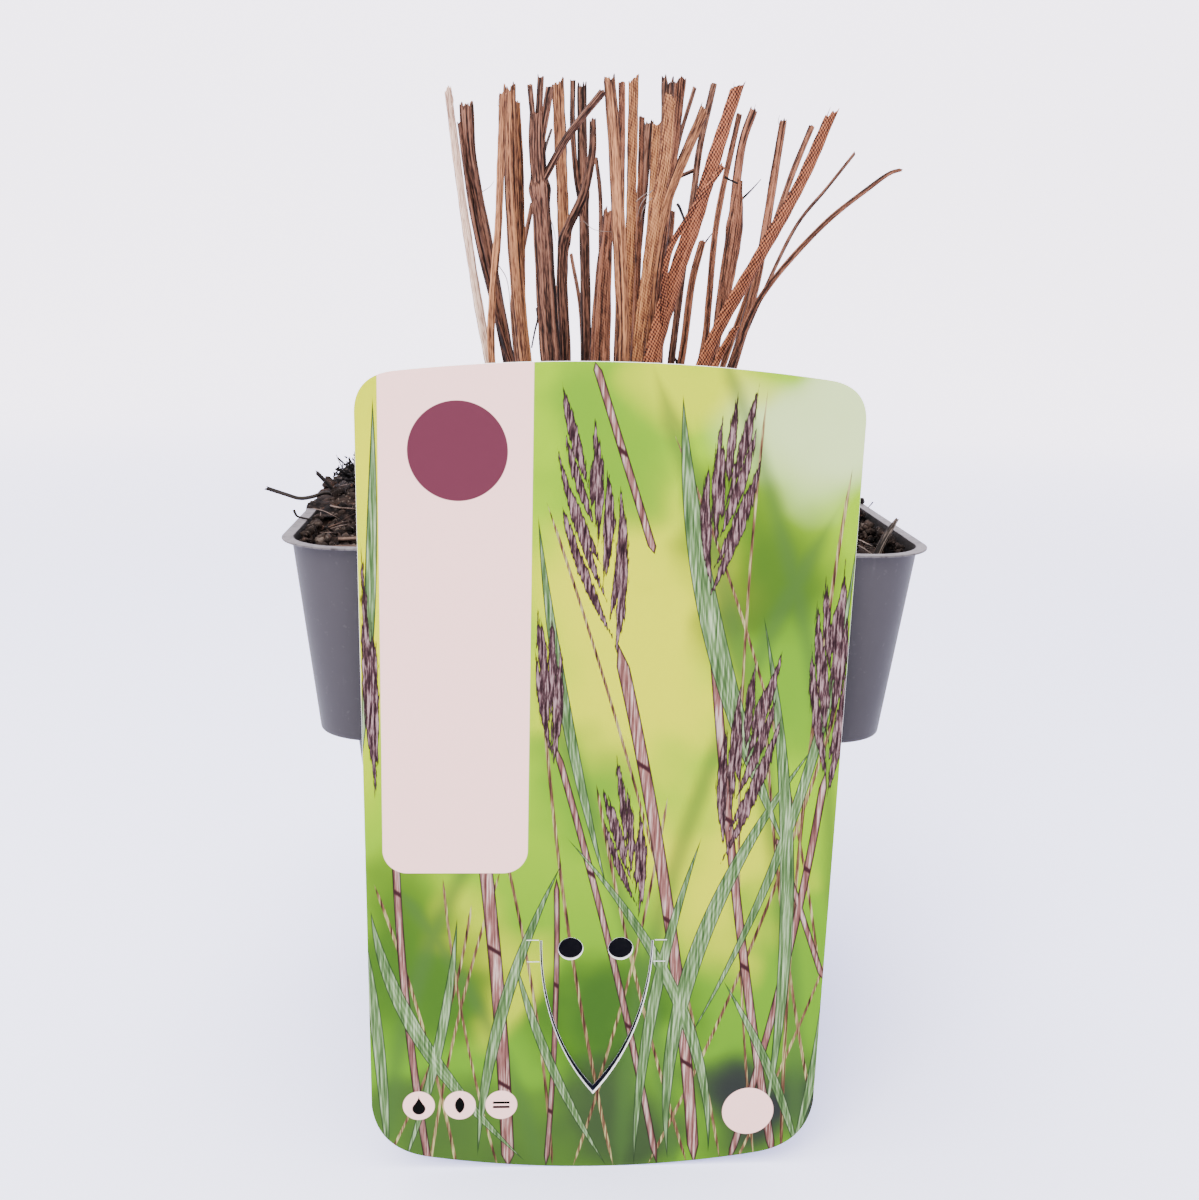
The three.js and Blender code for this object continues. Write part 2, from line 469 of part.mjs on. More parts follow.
// Outline of the label card, foot at y = 0: arched top and foot, rounded corners
function cardOutline() {
  const [top, foot] = [CARD_TOP_WIDTH / 2, CARD_FOOT_WIDTH / 2];
  const [shoulder, hem] = [CARD_HEIGHT - CARD_TOP_ARCH, CARD_FOOT_ARCH];
  const [topRound, footRound] = [CARD_TOP_CORNER, CARD_FOOT_CORNER];
  const outline = new THREE.Shape();
  outline.moveTo(-foot + footRound, hem);
  outline.quadraticCurveTo(0, -hem, foot - footRound, hem);
  outline.quadraticCurveTo(foot - 0.1 * footRound, hem + 0.14 * footRound, foot, hem + footRound);
  outline.lineTo(top, shoulder - topRound);
  outline.quadraticCurveTo(top, shoulder - 0.1 * topRound, top - topRound, shoulder);
  outline.quadraticCurveTo(0, CARD_HEIGHT + CARD_TOP_ARCH, -top + topRound, shoulder);
  outline.quadraticCurveTo(-top, shoulder - 0.1 * topRound, -top, shoulder - topRound);
  outline.lineTo(-foot, hem + footRound);
  outline.quadraticCurveTo(-foot + 0.1 * footRound, hem + 0.14 * footRound, -foot + footRound, hem);
  return outline;
}

// Outline of the tongue, grown by the slit's width where it is the hole in the card
function tongueOutline(path, slit) {
  const { top, tip, middle, halfTop, halfMid } = TONGUE;
  path.moveTo(middle - halfTop - slit, top);
  path.bezierCurveTo(middle - halfTop - slit, 28, middle - halfMid - slit, 19, middle, tip - slit * 1.4);
  path.bezierCurveTo(middle + halfMid + slit, 19, middle + halfTop + slit, 28, middle + halfTop + slit, top);
  path.lineTo(middle - halfTop - slit, top);
  return path;
}

// The label card: a thin plate with two eyelets and a tongue that is cut free on
// three sides and pushed back a little
function buildCard() {
  const plate = cardOutline();
  plate.holes.push(tongueOutline(new THREE.Path(), TONGUE.slit));
  const stamp = { depth: CARD_THICKNESS, bevelEnabled: false, curveSegments: 10 };
  let card = solid(new THREE.ExtrudeGeometry(plate, stamp));
  const tongue = new THREE.ExtrudeGeometry(tongueOutline(new THREE.Shape(), 0), stamp);
  tongue.translate(0, -TONGUE.top, -CARD_THICKNESS);
  tongue.rotateX(TONGUE_PUSH);
  tongue.translate(0, TONGUE.top + 0.05, CARD_THICKNESS);
  card = card.add(solid(tongue));
  for (const x of EYELETS.x) {
    const punch = new THREE.CylinderGeometry(EYELETS.radius, EYELETS.radius, 8 * CARD_THICKNESS, 20);
    punch.rotateX(Math.PI / 2);
    punch.translate(x, EYELETS.height, 0);
    card = card.subtract(solid(punch));
  }
  return card;
}

// Route of a scrap, with the height of the soil's surface where it lies
function scrapRoute(spec) {
  if (!spec.lying) return spec.route;
  return spec.route.map(([x, y]) => [x, y, RIM_HEIGHT - SOIL_EDGE_DROP + soilRise(x, y) + 0.2]);
}

const potted = new THREE.Group();
potted.name = "potted_big_bluestem";

potted.add(piece("pot", buildPot(), 0x706d74, 0.55));

let soil = buildSoil();
for (const spec of STEMS) {
  soil = soil.subtract(buildStem(spec, GAP));
  potted.add(piece(spec.name, buildStem(spec), TINTS[spec.tint], 0.75));
}
for (const spec of SCRAPS) {
  soil = soil.subtract(strip(spec, scrapRoute(spec), GAP));
  potted.add(piece(spec.name, strip(spec, scrapRoute(spec)), TINTS[spec.tint], 0.85));
}
soil = soil.subtract(buildTuft(GAP));
potted.add(piece("root_tuft", buildTuft(), 0x241e1c, 0.95));
potted.add(piece("soil", soil, 0x2b2220, 0.95));

// The card stands on its foot and leans back on the lip of the rim
const card = piece("label", buildCard(), 0x9dbf63, 0.45);
card.rotation.x = Math.PI / 2 - CARD_LEAN;
card.position.set(CARD_SHIFT, -HALF_RIM - GAP - (RIM_HEIGHT - 1) * Math.tan(CARD_LEAN), 0.02);
potted.add(card);

export default potted;
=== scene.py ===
"""Potted big bluestem, dressed for display.

A square nursery pot of dark soil holds a clump of cut, dry grass stems, and a printed
label card stands in front of it and leans on its rim. Sizes below are in millimetres,
+Z up, the front towards -Y, and are turned into metres once, where a mesh is made.
"""
import logging
import math
from collections.abc import Callable
from dataclasses import dataclass, field
from enum import Enum
from itertools import combinations

import bpy
import numpy as np
from mathutils import Matrix


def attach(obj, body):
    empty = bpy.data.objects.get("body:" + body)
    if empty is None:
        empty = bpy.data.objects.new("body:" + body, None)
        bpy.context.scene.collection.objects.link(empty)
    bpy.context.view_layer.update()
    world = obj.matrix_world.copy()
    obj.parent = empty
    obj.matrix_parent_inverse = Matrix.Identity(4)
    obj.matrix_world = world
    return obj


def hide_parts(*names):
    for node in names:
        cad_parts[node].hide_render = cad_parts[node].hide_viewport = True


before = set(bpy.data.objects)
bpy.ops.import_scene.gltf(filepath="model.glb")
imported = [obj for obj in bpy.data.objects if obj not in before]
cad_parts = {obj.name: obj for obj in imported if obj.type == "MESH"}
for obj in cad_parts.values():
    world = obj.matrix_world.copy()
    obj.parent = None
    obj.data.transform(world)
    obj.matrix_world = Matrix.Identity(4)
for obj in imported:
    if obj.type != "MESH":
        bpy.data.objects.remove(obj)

LOG = logging.getLogger("potted_big_bluestem")
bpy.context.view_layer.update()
MM = 0.001
BODY = "root"

Color = tuple[float, float, float]
Point = tuple[float, float, float]
Pair = tuple[float, float]
Stop = tuple[float, Color]
Route = tuple[Point, ...]
Array = np.ndarray
Look = bpy.types.Material
Mesh = bpy.types.Mesh

# The pot's driving sizes
RIM_HALF = 45.0
RIM_HEIGHT = 92.0
LIP = 1.4
LIP_DEPTH = 0.4
WALL = 0.4
FLOOR = 1.6
COLLAR_FOOT = 64.0
COLLAR_FOOT_HALF = 40.5
SHOULDER = 62.4
BODY_TOP_HALF = 36.0
BASE_HALF = 29.8
GAP = 0.3

# Half the straight part of a side, by height; the rest of a side's half is its corner
CORE_LEVELS = (0, SHOULDER, COLLAR_FOOT, RIM_HEIGHT - LIP_DEPTH, RIM_HEIGHT)
CORE_HALVES = (23.8, 29.9, 34.0, 35.5, 35.5)

# The soil's level at its edge, and the level that the stems leave it at
SOIL_LEVEL = 89.4
CROWN_LEVEL = 92.5
ROOT_DEPTH = 8.0

# Constants of the plain hash behind the noise, and of the rule that draws the clods
HASH_STEPS = np.array([73856093, 19349663, 83492791])
HASH_SEED = 668265263
HASH_MIX = 1274126177
DRAW_FACTOR = 1664525
DRAW_SHIFT = 1013904223
DRAW_RANGE = 2**32

# Seeds of the random draws, apart from those of the crumbs
STEM_SEED = 100
FIBRE_SEED = 60
SCRAP_SEED = 300
TUFT_SEED = 19

# Waves round a round section of grass: the count of each of the three, and their depth
FURROWS = {"strand": ((3, 5, 4), 0.10), "culm": ((7, 11, 4), 0.085), "fluted": ((6, 12, 5), 0.15)}

# The label card stands on its foot and leans back on the rim
CARD_LEAN = math.radians(1.0)
CARD_SHIFT = -0.5
CARD_THICKNESS = 0.6


class Tint(Enum):
    """Colour of a dry stem."""

    CREAM = "stem_cream"
    PEACH = "stem_peach"
    TAN = "stem_tan"
    ORANGE = "stem_orange"
    BROWN = "stem_brown"
    DARK = "stem_dark"
    ROOT = "dead_root"


class Form(Enum):
    """Section of a strip of dry grass: round and furrowed, deeply fluted, thin, or flat."""

    CULM = "culm"
    FLUTED = "fluted"
    STRAND = "strand"
    BLADE = "blade"


@dataclass(frozen=True)
class Strip:
    """One strip of dry grass: a section carried along a route.

    The width runs from the first to the second value, plus a swelling half way. The flat
    side faces the given number of degrees from the front, and the end is cut at a slant
    and torn.
    """

    form: Form
    width: Pair
    route: Route
    face: float = 0.0
    cut: float = 0.0
    jag: float = 0.0
    joint: float | None = None
    swell: float = 0.0
    lying: bool = False


@dataclass(frozen=True)
class Stem:
    """A stem that leaves the soil at its foot, with the strips torn off it.

    Cast makes it lighter than its tint where above 0 and darker below.
    """

    name: str
    tint: Tint
    foot: Pair
    main: Strip
    torn: tuple[Strip, ...] = ()
    cast: float = 0.0


def strips_of(form: Form) -> Callable[..., Strip]:
    """A function that makes strips of one form from their widths, route and further fields."""
    return lambda width, *route, **more: Strip(form, width, route, **more)


culm, fluted, strand, blade = (strips_of(form) for form in Form)

STEMS = (
    Stem("blade_pale_left", Tint.CREAM, (-12, -8),
         blade((1.8, 1.1), (-17.5, -9, 115), (-21, -11, 135), (-23.5, -13, 153.5), face=14, cut=0.4)),
    Stem("culm_dark_left", Tint.DARK, (-10.5, -2),
         culm((1.7, 2.2), (-15, -3, 117), (-18, -5, 132), (-20.5, -7, 144.5), (-21, -8, 152), jag=1.2),
         (strand((0.9, 0.9), (-13.8, -3, 113), (-17.8, -6, 126.5), (-20.2, -7.2, 137), (-22, -8.2, 149.5)),)),
    Stem("blade_tan_left", Tint.TAN, (-13, -11),
         blade((1.2, 1.1), (-17, -12, 115.5), (-16, -15, 136), (-15.5, -18, 152.5), face=-10, cut=0.5)),
    Stem("culm_tan_left", Tint.TAN, (-8.5, -7),
         culm((2.4, 1.8), (-12, -8, 115.5), (-14, -10, 137), (-14.6, -12, 154), jag=1.0),
         (blade((1.1, 0.9), (-12.3, -7.6, 120), (-12.9, -8, 143), (-13.5, -9, 152.5), face=20),)),
    Stem("stalk_slanting", Tint.DARK, (-10.5, 3.5),
         strand((0.8, 0.7), (-14, 4, 123.5), (-12.5, 5, 131.5), (-11, 6, 139))),
    Stem("culm_fluted", Tint.DARK, (-5, -10.5),
         fluted((3.2, 1.9), (-8, -10, 116), (-9.5, -12, 134), (-10.5, -13.5, 145.5), (-10.6, -14, 150.5),
                jag=0.6, joint=140),
         (strand((0.9, 0.8), (-10.7, -13.8, 146), (-11.7, -14.4, 154.3)),
          strand((1.0, 1.0), (-10.5, -13.8, 146), (-10.1, -14.2, 155.5)),
          strand((1.0, 1.2), (-10.2, -13.6, 145), (-8.8, -14.4, 154)),
          strand((1.1, 1.1), (-10, -13, 140.5), (-6, -14.6, 147.5), (-1.2, -16, 153.5)))),
    Stem("culm_with_joint", Tint.DARK, (-4.5, -5.5),
         culm((2.0, 0.9), (-5.6, -5, 116), (-6, -4, 133), (-3.2, -4, 140), (-2, -4, 146), (-2, -4, 151),
              jag=0.5, joint=133)),
    Stem("blade_tan_middle", Tint.TAN, (-5.5, 0.5),
         blade((1.6, 2.0), (-6.2, 2, 120), (-6, 2, 134), (-6.6, 2, 146), (-7.3, 2, 157), face=-6, cut=0.6)),
    Stem("culm_dark_middle", Tint.DARK, (-1.5, 4),
         culm((1.8, 1.4), (-1.8, 4, 115), (-2.5, 6, 135), (-3, 7, 146.5), (-3.3, 8, 157.5),
              jag=1.0, joint=141),
         (strand((0.9, 0.8), (-2.6, 5.8, 137), (-3.9, 6, 143), (-4.7, 6.5, 151), (-4.8, 7, 158)),)),
    Stem("stalk_thin_middle", Tint.DARK, (0.5, 8.5),
         strand((0.8, 0.6), (0.5, 9, 124), (0.3, 12, 141), (-0.5, 13, 147))),
    Stem("stalk_spike", Tint.DARK, (-2, 9.5),
         strand((0.9, 0.6), (-2.5, 10, 121), (-4.3, 14, 131.5))),
    Stem("culm_brown_low", Tint.BROWN, (0, -1.5),
         culm((3.0, 1.5), (0.2, -1, 115.5), (0.5, 0, 128), (1.1, 0, 138), jag=1.4, swell=0.9), cast=1.5),
    Stem("culm_tan_middle", Tint.TAN, (1, -11.5),
         culm((2.1, 1.5), (3, -11, 116), (1.6, -13, 137.5), (0.7, -14, 147.5), (-0.3, -15, 155.5), jag=0.7)),
    Stem("stalk_brown_middle", Tint.BROWN, (3, 3.5),
         strand((1.1, 1.0), (3.3, 3, 128), (3, 3, 151.5), (2.8, 3, 157.5))),
    Stem("blade_pale_middle", Tint.PEACH, (3.5, -5.5),
         blade((1.5, 1.6), (4.2, -6, 130), (4, -7, 143.5), (3.8, -8, 156.5), face=8, cut=0.7)),
    Stem("stalk_brown_back", Tint.BROWN, (5.8, 6),
         strand((1.1, 0.9), (6.5, 6, 130.5), (6.5, 7, 145), (6.5, 8, 153))),
    Stem("culm_dark_back", Tint.DARK, (4.5, 10),
         culm((1.4, 1.6), (5.6, 10, 115), (6.5, 12, 130), (7.7, 14, 145), (8.3, 15.5, 153), jag=0.8)),
    Stem("blade_pale_back", Tint.PEACH, (7, 2),
         blade((1.3, 1.5), (7.9, 2.5, 128), (8.5, 4, 146), (8.6, 4, 151.5), face=5, cut=0.3)),
    Stem("blade_peach", Tint.PEACH, (4.5, -9.5),
         blade((2.3, 1.8), (5.6, -10, 116), (7.2, -13, 136), (8.2, -15, 144.5), (8.6, -16, 153),
               face=10, cut=-0.7)),
    Stem("culm_dark_top", Tint.DARK, (8.5, 6),
         culm((1.4, 1.8), (9.3, 6.5, 130.5), (10.7, 9, 149.5), (10.7, 10, 159), jag=1.3)),
    Stem("blade_brown_patterned", Tint.BROWN, (7.5, -2),
         blade((1.5, 1.8), (8.7, -2, 124.5), (10.2, -1, 141), (11, -1, 150), (11.5, -1, 157.5),
               face=-12, cut=0.5)),
    Stem("stalk_dark_back", Tint.DARK, (7.5, 10.5),
         strand((0.8, 0.7), (11.8, 12, 137), (13.2, 15, 149), (16, 17, 159))),
    Stem("blade_flat_pale", Tint.TAN, (7.5, -6),
         blade((1.2, 1.6), (7.9, -8, 129), (9.4, -8, 138.5), (11.2, -8, 144), (14.6, -8, 152.5),
               face=6, cut=-0.8)),
    Stem("stalk_dark_right", Tint.DARK, (11, 6),
         strand((1.1, 1.0), (14, 7, 129), (15.6, 9, 142), (16.3, 10, 148.5), (18.5, 12, 159)),
         (strand((0.7, 0.6), (16, 9.6, 145.4), (12.9, 9.4, 144)),)),
    Stem("blade_broad_orange", Tint.ORANGE, (6.5, -13),
         blade((3.4, 1.9), (7.6, -12.6, 115), (10.4, -15, 128), (13, -17, 137), (14.7, -18, 143.5),
               (17.8, -19, 154.5), face=16, cut=0.8),
         (blade((1.0, 0.8), (8.8, -13.8, 121), (8.9, -17.5, 131), (11.4, -20, 136.5), (15.9, -21, 143.5),
                face=10),)),
    Stem("culm_sheathed", Tint.BROWN, (12.5, -4.5),
         culm((1.7, 1.3), (18, -5, 116), (19.2, -3, 126), (20.5, -1, 136), (22, 1, 149), (23.7, 2, 154),
              jag=0.6, joint=136),
         (blade((1.0, 0.9), (18.6, -5.4, 119), (19.9, -4.2, 128), (21.1, -2.7, 137), (21.5, -1.6, 143),
                swell=1.6, face=8),)),
    Stem("stalk_brown_right", Tint.BROWN, (13, 5.5),
         strand((1.3, 0.8), (18, 6, 117), (18.6, 7, 124.5), (19.6, 9, 137), (23, 12, 154.5))),
    Stem("stalk_low_back", Tint.BROWN, (10.5, 9.3),
         strand((1.3, 1.2), (14.6, 9.5, 114), (16.3, 12, 127.5), (18, 14, 134)), cast=1.5),
    Stem("culm_right", Tint.BROWN, (15.5, -1),
         culm((2.0, 1.2), (22.3, -1, 116), (25.6, 2, 128.5), (28.4, 6, 146), (29.4, 7, 153), jag=0.4)),
    Stem("stalk_thin_right", Tint.BROWN, (16, 5),
         strand((1.1, 1.0), (22.3, 6, 117), (29.2, 8, 137), (32.3, 11, 145.5), (35.4, 13, 153))),
    Stem("blade_broad_right", Tint.ORANGE, (10.5, -9),
         blade((2.6, 1.75), (17, -7.6, 117), (24, -11, 132), (29, -12, 142), (33, -12, 152), face=18, cut=0.9,
               jag=0.9)),
    Stem("stalk_wiry", Tint.DARK, (17, 1.5),
         strand((0.85, 0.5), (23, 2, 116), (26.8, 3, 125.5), (32.5, 6, 137), (37.5, 8, 143), (42, 9, 148.7)),
         cast=-3.0),
    Stem("stalk_hooked", Tint.BROWN, (15.5, -4.7),
         strand((1.2, 0.5), (21.4, -4.5, 115), (25, -3, 124.3), (34.5, -3, 136.2), (41.7, -3, 142.3),
                (45, -3, 144.7), (46.6, -3, 145.2)), cast=-4.0),
    Stem("blade_low_front", Tint.ORANGE, (11, -13),
         blade((1.5, 1.0), (17.2, -16, 116), (19.2, -19, 121), face=20, cut=0.9)),
    Stem("stalk_short_back", Tint.BROWN, (11.5, 12.5),
         strand((1.0, 0.9), (11.7, 13, 130.5), (12.7, 15, 135.5), (13, 16, 139))),
)

# Loose pieces of old root, twig, bark and leaf; those that lie take the soil's height
SCRAPS = {
    "root_fibre": (Tint.ROOT, strand(
        (0.6, 0.62), (-39.5, -6, 90.5), (-41.5, -7, 92.6), (-43.2, -7.8, 93.4), (-45, -8, 92.8),
        (-47.2, -8, 92.45), (-49.5, -8, 93.1), (-52.5, -8, 94.05))),
    "twig_left": (Tint.ROOT, strand((0.75, 0.6), (-40.9, -8.5, 92), (-41.6, -11, 94.5), (-44, -11.5, 97.3))),
    "bark_chip": (Tint.BROWN, culm(
        (0.95, 0.5), (38.0, -34, 87.0), (39.35, -33, 90.7), (40.45, -32, 92.4), (41.45, -31, 93.5),
        (42.4, -30, 94.4), jag=0.5, swell=0.25)),
    "leaf_scrap": (Tint.ORANGE, blade(
        (2.6, 2.2), (32, -24, 0), (33.6, -30, 0), (35, -37, 0), lying=True)),
    "straw_long": (Tint.TAN, blade(
        (1.3, 1.0), (-39, -34, 0), (-35.5, -33, 0), (-31, -34.5, 0), lying=True)),
    "straw_short": (Tint.CREAM, blade(
        (1.2, 0.9), (-38.5, -28, 0), (-35, -27.5, 0), (-31.5, -29, 0), lying=True)),
}


# Loose fibres that are seen one by one, by kind: the widths at both ends, then the route
HAIRS = {
    "hairs_dark": (
        ((0.42, 0.12), (21.9, -1, 140.1), (23.4, -1, 141.6), (24.9, -1, 143.3)),
        ((0.46, 0.34), (9.6, -19.8, 138.1), (9.9, -19.8, 137.8), (10.3, -19.8, 137), (10.9, -19.9, 135.6)),
        ((0.42, 0.30), (19, -1.8, 143.4), (19.8, -1.8, 143), (21.1, -1.8, 142.5)),
        ((0.36, 0.16), (18.1, 14, 133.3), (18.9, 14, 134.5), (19.8, 14, 135.7)),
        ((0.36, 0.24), (-10.2, -8.3, 122.8), (-10, -8.3, 121.3), (-10.4, -8.3, 119.4), (-10.9, -8.3, 116.7)),
        ((0.5, 0.4), (12.5, 6.4, 113.8), (12.9, 6.4, 115), (13.4, 6.4, 114.6), (13.6, 6.4, 113.5)),
        ((0.40, 0.24), (-45.4, -24, 93.4), (-44.95, -24, 92.5), (-44.2, -24, 92.25), (-42.9, -24, 92.0)),
        ((0.20, 0.10), (-40.2, -7, 96.5), (-41, -6.5, 98), (-41.6, -6, 99.2)),
        ((0.26, 0.14), (45.6, -5, 92.9), (45.3, -5, 92.5), (44.8, -5, 91.9)),
    ),
    "hairs_grey": (
        ((0.5, 0.36), (-9.7, -12.6, 144.1), (-9.2, -12.6, 146.1), (-8.4, -12.6, 148.5)),
        ((0.15, 0.08), (-8.5, -12, 136.2), (-7.9, -12, 134.6), (-7.5, -12, 132.7)),
        ((0.15, 0.08), (-15.9, -13.9, 128.8), (-14.9, -13.7, 127.3), (-14.4, -13.5, 125.1),
         (-14.2, -13.3, 122.2)),
        ((0.14, 0.06), (6.6, -13.5, 140.3), (5, -13.4, 138.3), (4.5, -13.4, 136.5)),
        ((0.14, 0.06), (6.6, -13.5, 139.2), (5.5, -13.4, 137.9), (4.9, -13.4, 135.7)),
        ((0.13, 0.06), (4.2, -13.5, 138.6), (5.4, -13.5, 139.6), (6.9, -13.5, 140.4)),
        ((0.24, 0.16), (37.6, -23.6, 90.5), (38.6, -30.3, 90.6), (39.3, -35.8, 90.4)),
        ((0.24, 0.16), (36.2, -26.4, 90.4), (37.2, -32.6, 90.5), (37.8, -36.4, 90.2)),
        ((0.12, 0.06), (-18.8, -6.4, 139.7), (-17.5, -6.4, 140.6), (-16.9, -6.4, 141.4)),
        ((0.12, 0.06), (-3.5, -12.6, 135.7), (-1.9, -12.6, 134.5), (1, -12.7, 134.2)),
    ),
    "hairs_pale": (
        ((0.30, 0.24), (-41.4, -15.1, 92.9), (-40.6, -18.4, 93.1), (-39.1, -20.3, 93.2),
         (-37.1, -19.3, 92.9)),
        ((0.15, 0.08), (-43.2, -19.4, 92.9), (-41.5, -21.4, 92.9), (-40, -23.4, 92.7), (-38.4, -25.1, 92.2)),
        ((0.20, 0.12), (-42.0, -20.4, 92.6), (-41.7, -23.0, 92.2), (-41.3, -26.6, 91.4)),
        ((0.20, 0.14), (-42.2, -31.0, 90.6), (-40.6, -28.2, 91.0), (-39.0, -26.4, 91.4),
         (-37.2, -25.8, 91.7)),
        ((0.17, 0.10), (-41.6, -10.6, 95.2), (-40.2, -11.4, 95.4), (-38.4, -11.2, 95.5)),
        ((0.20, 0.10), (-41.2, -30.4, 90.9), (-39.6, -30.2, 91.3), (-37.8, -31, 91.2)),
    ),
    "hairs_rust": (
        ((0.26, 0.16), (-41.2, -29.1, 91.1), (-39.6, -26.1, 91.5), (-37.9, -22.9, 91.6)),
        ((0.26, 0.16), (-42.4, -23.1, 91.7), (-40.4, -27.4, 91.4), (-38.6, -31.5, 91.0)),
        ((0.34, 0.2), (-42.2, -8.8, 94.8), (-41, -10.6, 94.9), (-39.2, -12.8, 94.8)),
    ),
}


def smoothstep(values: Array, low: float, high: float) -> Array:
    """0 below low, 1 above high, and a smooth climb between them."""
    share = np.clip((np.asarray(values, float) - low) / (high - low), 0, 1)
    return share * share * (3 - 2 * share)


def lattice_noise(points: Array, cell: float, seed: int) -> Array:
    """Smooth random values from -1 to 1.

    Hashed values at the corners of cubes are blended with a smooth step of the place
    inside the cube.

    Args:
        points: places, one a row.
        cell: side of a cube.
        seed: number of the pattern.

    Returns:
        One value for each place.
    """
    scaled = np.asarray(points, float) / cell
    base = np.floor(scaled).astype(np.int64)
    part = scaled - base
    ease = part * part * (3 - 2 * part)
    total = np.zeros(len(scaled))
    for corner in np.ndindex(2, 2, 2):
        offset = np.array(corner)
        key = (base + offset) @ HASH_STEPS + seed * HASH_SEED
        key = (key ^ (key >> 13)) * HASH_MIX
        value = ((key ^ (key >> 16)) & 0xFFFF) / 32767.5 - 1
        total += value * np.prod(np.where(offset == 1, ease, 1 - ease), axis=1)
    return total


def fractal_noise(points: Array, cell: float, seed: int, octaves: int = 3) -> Array:
    """Lattice noise summed over octaves, each half the size and height of the one before."""
    total = np.zeros(len(points))
    for octave in range(octaves):
        total += lattice_noise(points, cell / 2**octave, seed + octave) / 2**octave
    return total


def pebbles(x: Array, y: Array, cell: float, seed: int) -> Array:
    """Height of a floor of round grains, from 0 between them to 1 on top.

    Each square cell holds one grain at a random place and of a random size, and the
    highest of the grains in the nine cells round a point counts there.
    """
    place = np.stack([x, y], -1) / cell
    home = np.floor(place)
    best = np.zeros(len(place))
    for step in np.ndindex(3, 3):
        spot = home + np.array(step) - 1
        key = np.concatenate([spot, np.zeros((len(spot), 1))], 1)
        jitter = [lattice_noise(key + 0.01, 1.0, seed + k) * 0.5 + 0.5 for k in range(3)]
        away = np.hypot(place[:, 0] - spot[:, 0] - jitter[0], place[:, 1] - spot[:, 1] - jitter[1])
        radius = 0.35 + 0.5 * jitter[2]
        best = np.maximum(best, radius * np.sqrt(np.clip(1 - (away / radius) ** 2, 0, None)))
    return best


@dataclass
class Patch:
    """One closed surface: points, four-sided faces, and what its material reads.

    Grain is a place in the strip's own space, across, through and along it. Relief is
    the height of the surface's fine form, less painted shade at the sides and in a hollow
    end, and tone its lightness, both about -1 to 1.
    """

    points: Array
    quads: Array
    grain: Array
    relief: Array
    tone: Array


def grid_quads(rows: int, cols: int) -> Array:
    """Faces of a grid whose columns close on themselves, turned outwards."""
    i, j = np.meshgrid(np.arange(rows - 1), np.arange(cols), indexing="ij")
    k = (j + 1) % cols
    return np.stack([i * cols + j, i * cols + k, (i + 1) * cols + k, (i + 1) * cols + j], -1).reshape(-1, 4)


def circle(count: int) -> Array:
    """Points of a circle of radius 1, one a row, anticlockwise."""
    turn = 2 * np.pi * np.arange(count) / count
    return np.stack([np.cos(turn), np.sin(turn)], 1)


def sheet_quads(rows: int, columns: int) -> tuple[Array, Array]:
    """Faces of an open grid, turned upwards, and the numbers of the points round its border."""
    k = np.arange(rows * columns).reshape(rows, columns)
    faces = np.stack([k[:-1, :-1], k[:-1, 1:], k[1:, 1:], k[1:, :-1]], -1).reshape(-1, 4)
    return faces, np.concatenate([k[0, :-1], k[:-1, -1], k[-1, :0:-1], k[:0:-1, 0]])


def zip_quads(start: int, cols: int, upwards: bool) -> Array:
    """Faces that close a ring of an even count by joining each point to the one across."""
    near = start + np.arange(cols // 2 - 1)
    far = start + cols - 1 - np.arange(cols // 2 - 1)
    faces = np.stack([near, near + 1, far - 1, far], -1)
    return faces if upwards else faces[:, ::-1]


def tube_patch(points: Array, grain: Array, relief: Array, tone: float) -> Patch:
    """A closed tube from a grid of points, rows along it and columns round it."""
    rows, cols = points.shape[:2]
    quads = np.concatenate([
        grid_quads(rows, cols),
        zip_quads(0, cols, upwards=False),
        zip_quads((rows - 1) * cols, cols, upwards=True),
    ])
    flat = points.reshape(-1, 3)
    return Patch(flat, quads, grain.reshape(-1, 3), relief.reshape(-1), np.full(len(flat), tone))


def add_attribute(mesh: Mesh, name: str, values: Array) -> None:
    """Stores a number or a vector for each point of a mesh under a name."""
    kind, slot = ("FLOAT_VECTOR", "vector") if values.ndim == 2 else ("FLOAT", "value")
    mesh.attributes.new(name, kind, "POINT").data.foreach_set(slot, values.astype(np.float32).ravel())


def mesh_from(name: str, points: Array, quads: Array, caps: tuple[Array, ...] = ()) -> Mesh:
    """A mesh in metres from points in millimetres.

    Args:
        name: the mesh's name.
        points: places, one a row.
        quads: four-sided or three-sided faces, one a row.
        caps: further faces with any number of corners.

    Returns:
        The new mesh, smooth shaded.
    """
    mesh = bpy.data.meshes.new(name)
    corners = np.concatenate([quads.ravel(), *caps]).astype(np.int32)
    counts = np.array([quads.shape[1]] * len(quads) + [len(cap) for cap in caps])
    mesh.vertices.add(len(points))
    mesh.vertices.foreach_set("co", (points * MM).astype(np.float32).ravel())
    mesh.loops.add(len(corners))
    mesh.loops.foreach_set("vertex_index", corners)
    mesh.polygons.add(len(counts))
    mesh.polygons.foreach_set("loop_start", np.concatenate([[0], np.cumsum(counts)[:-1]]).astype(np.int32))
    mesh.update(calc_edges=True)
    mesh.validate()
    mesh.shade_smooth()
    return mesh


def placed(name: str, data: bpy.types.ID) -> bpy.types.Object:
    """A new object in the scene, at the origin."""
    thing = bpy.data.objects.new(name, data)
    bpy.context.scene.collection.objects.link(thing)
    return thing


def final_mesh(thing: bpy.types.Object, name: str) -> Mesh:
    """The mesh that an object's curve or modifiers give, under a name. The object goes."""
    bpy.context.view_layer.update()
    mesh = bpy.data.meshes.new_from_object(thing.evaluated_get(bpy.context.evaluated_depsgraph_get()))
    bpy.data.objects.remove(thing)
    mesh.name = name
    return mesh


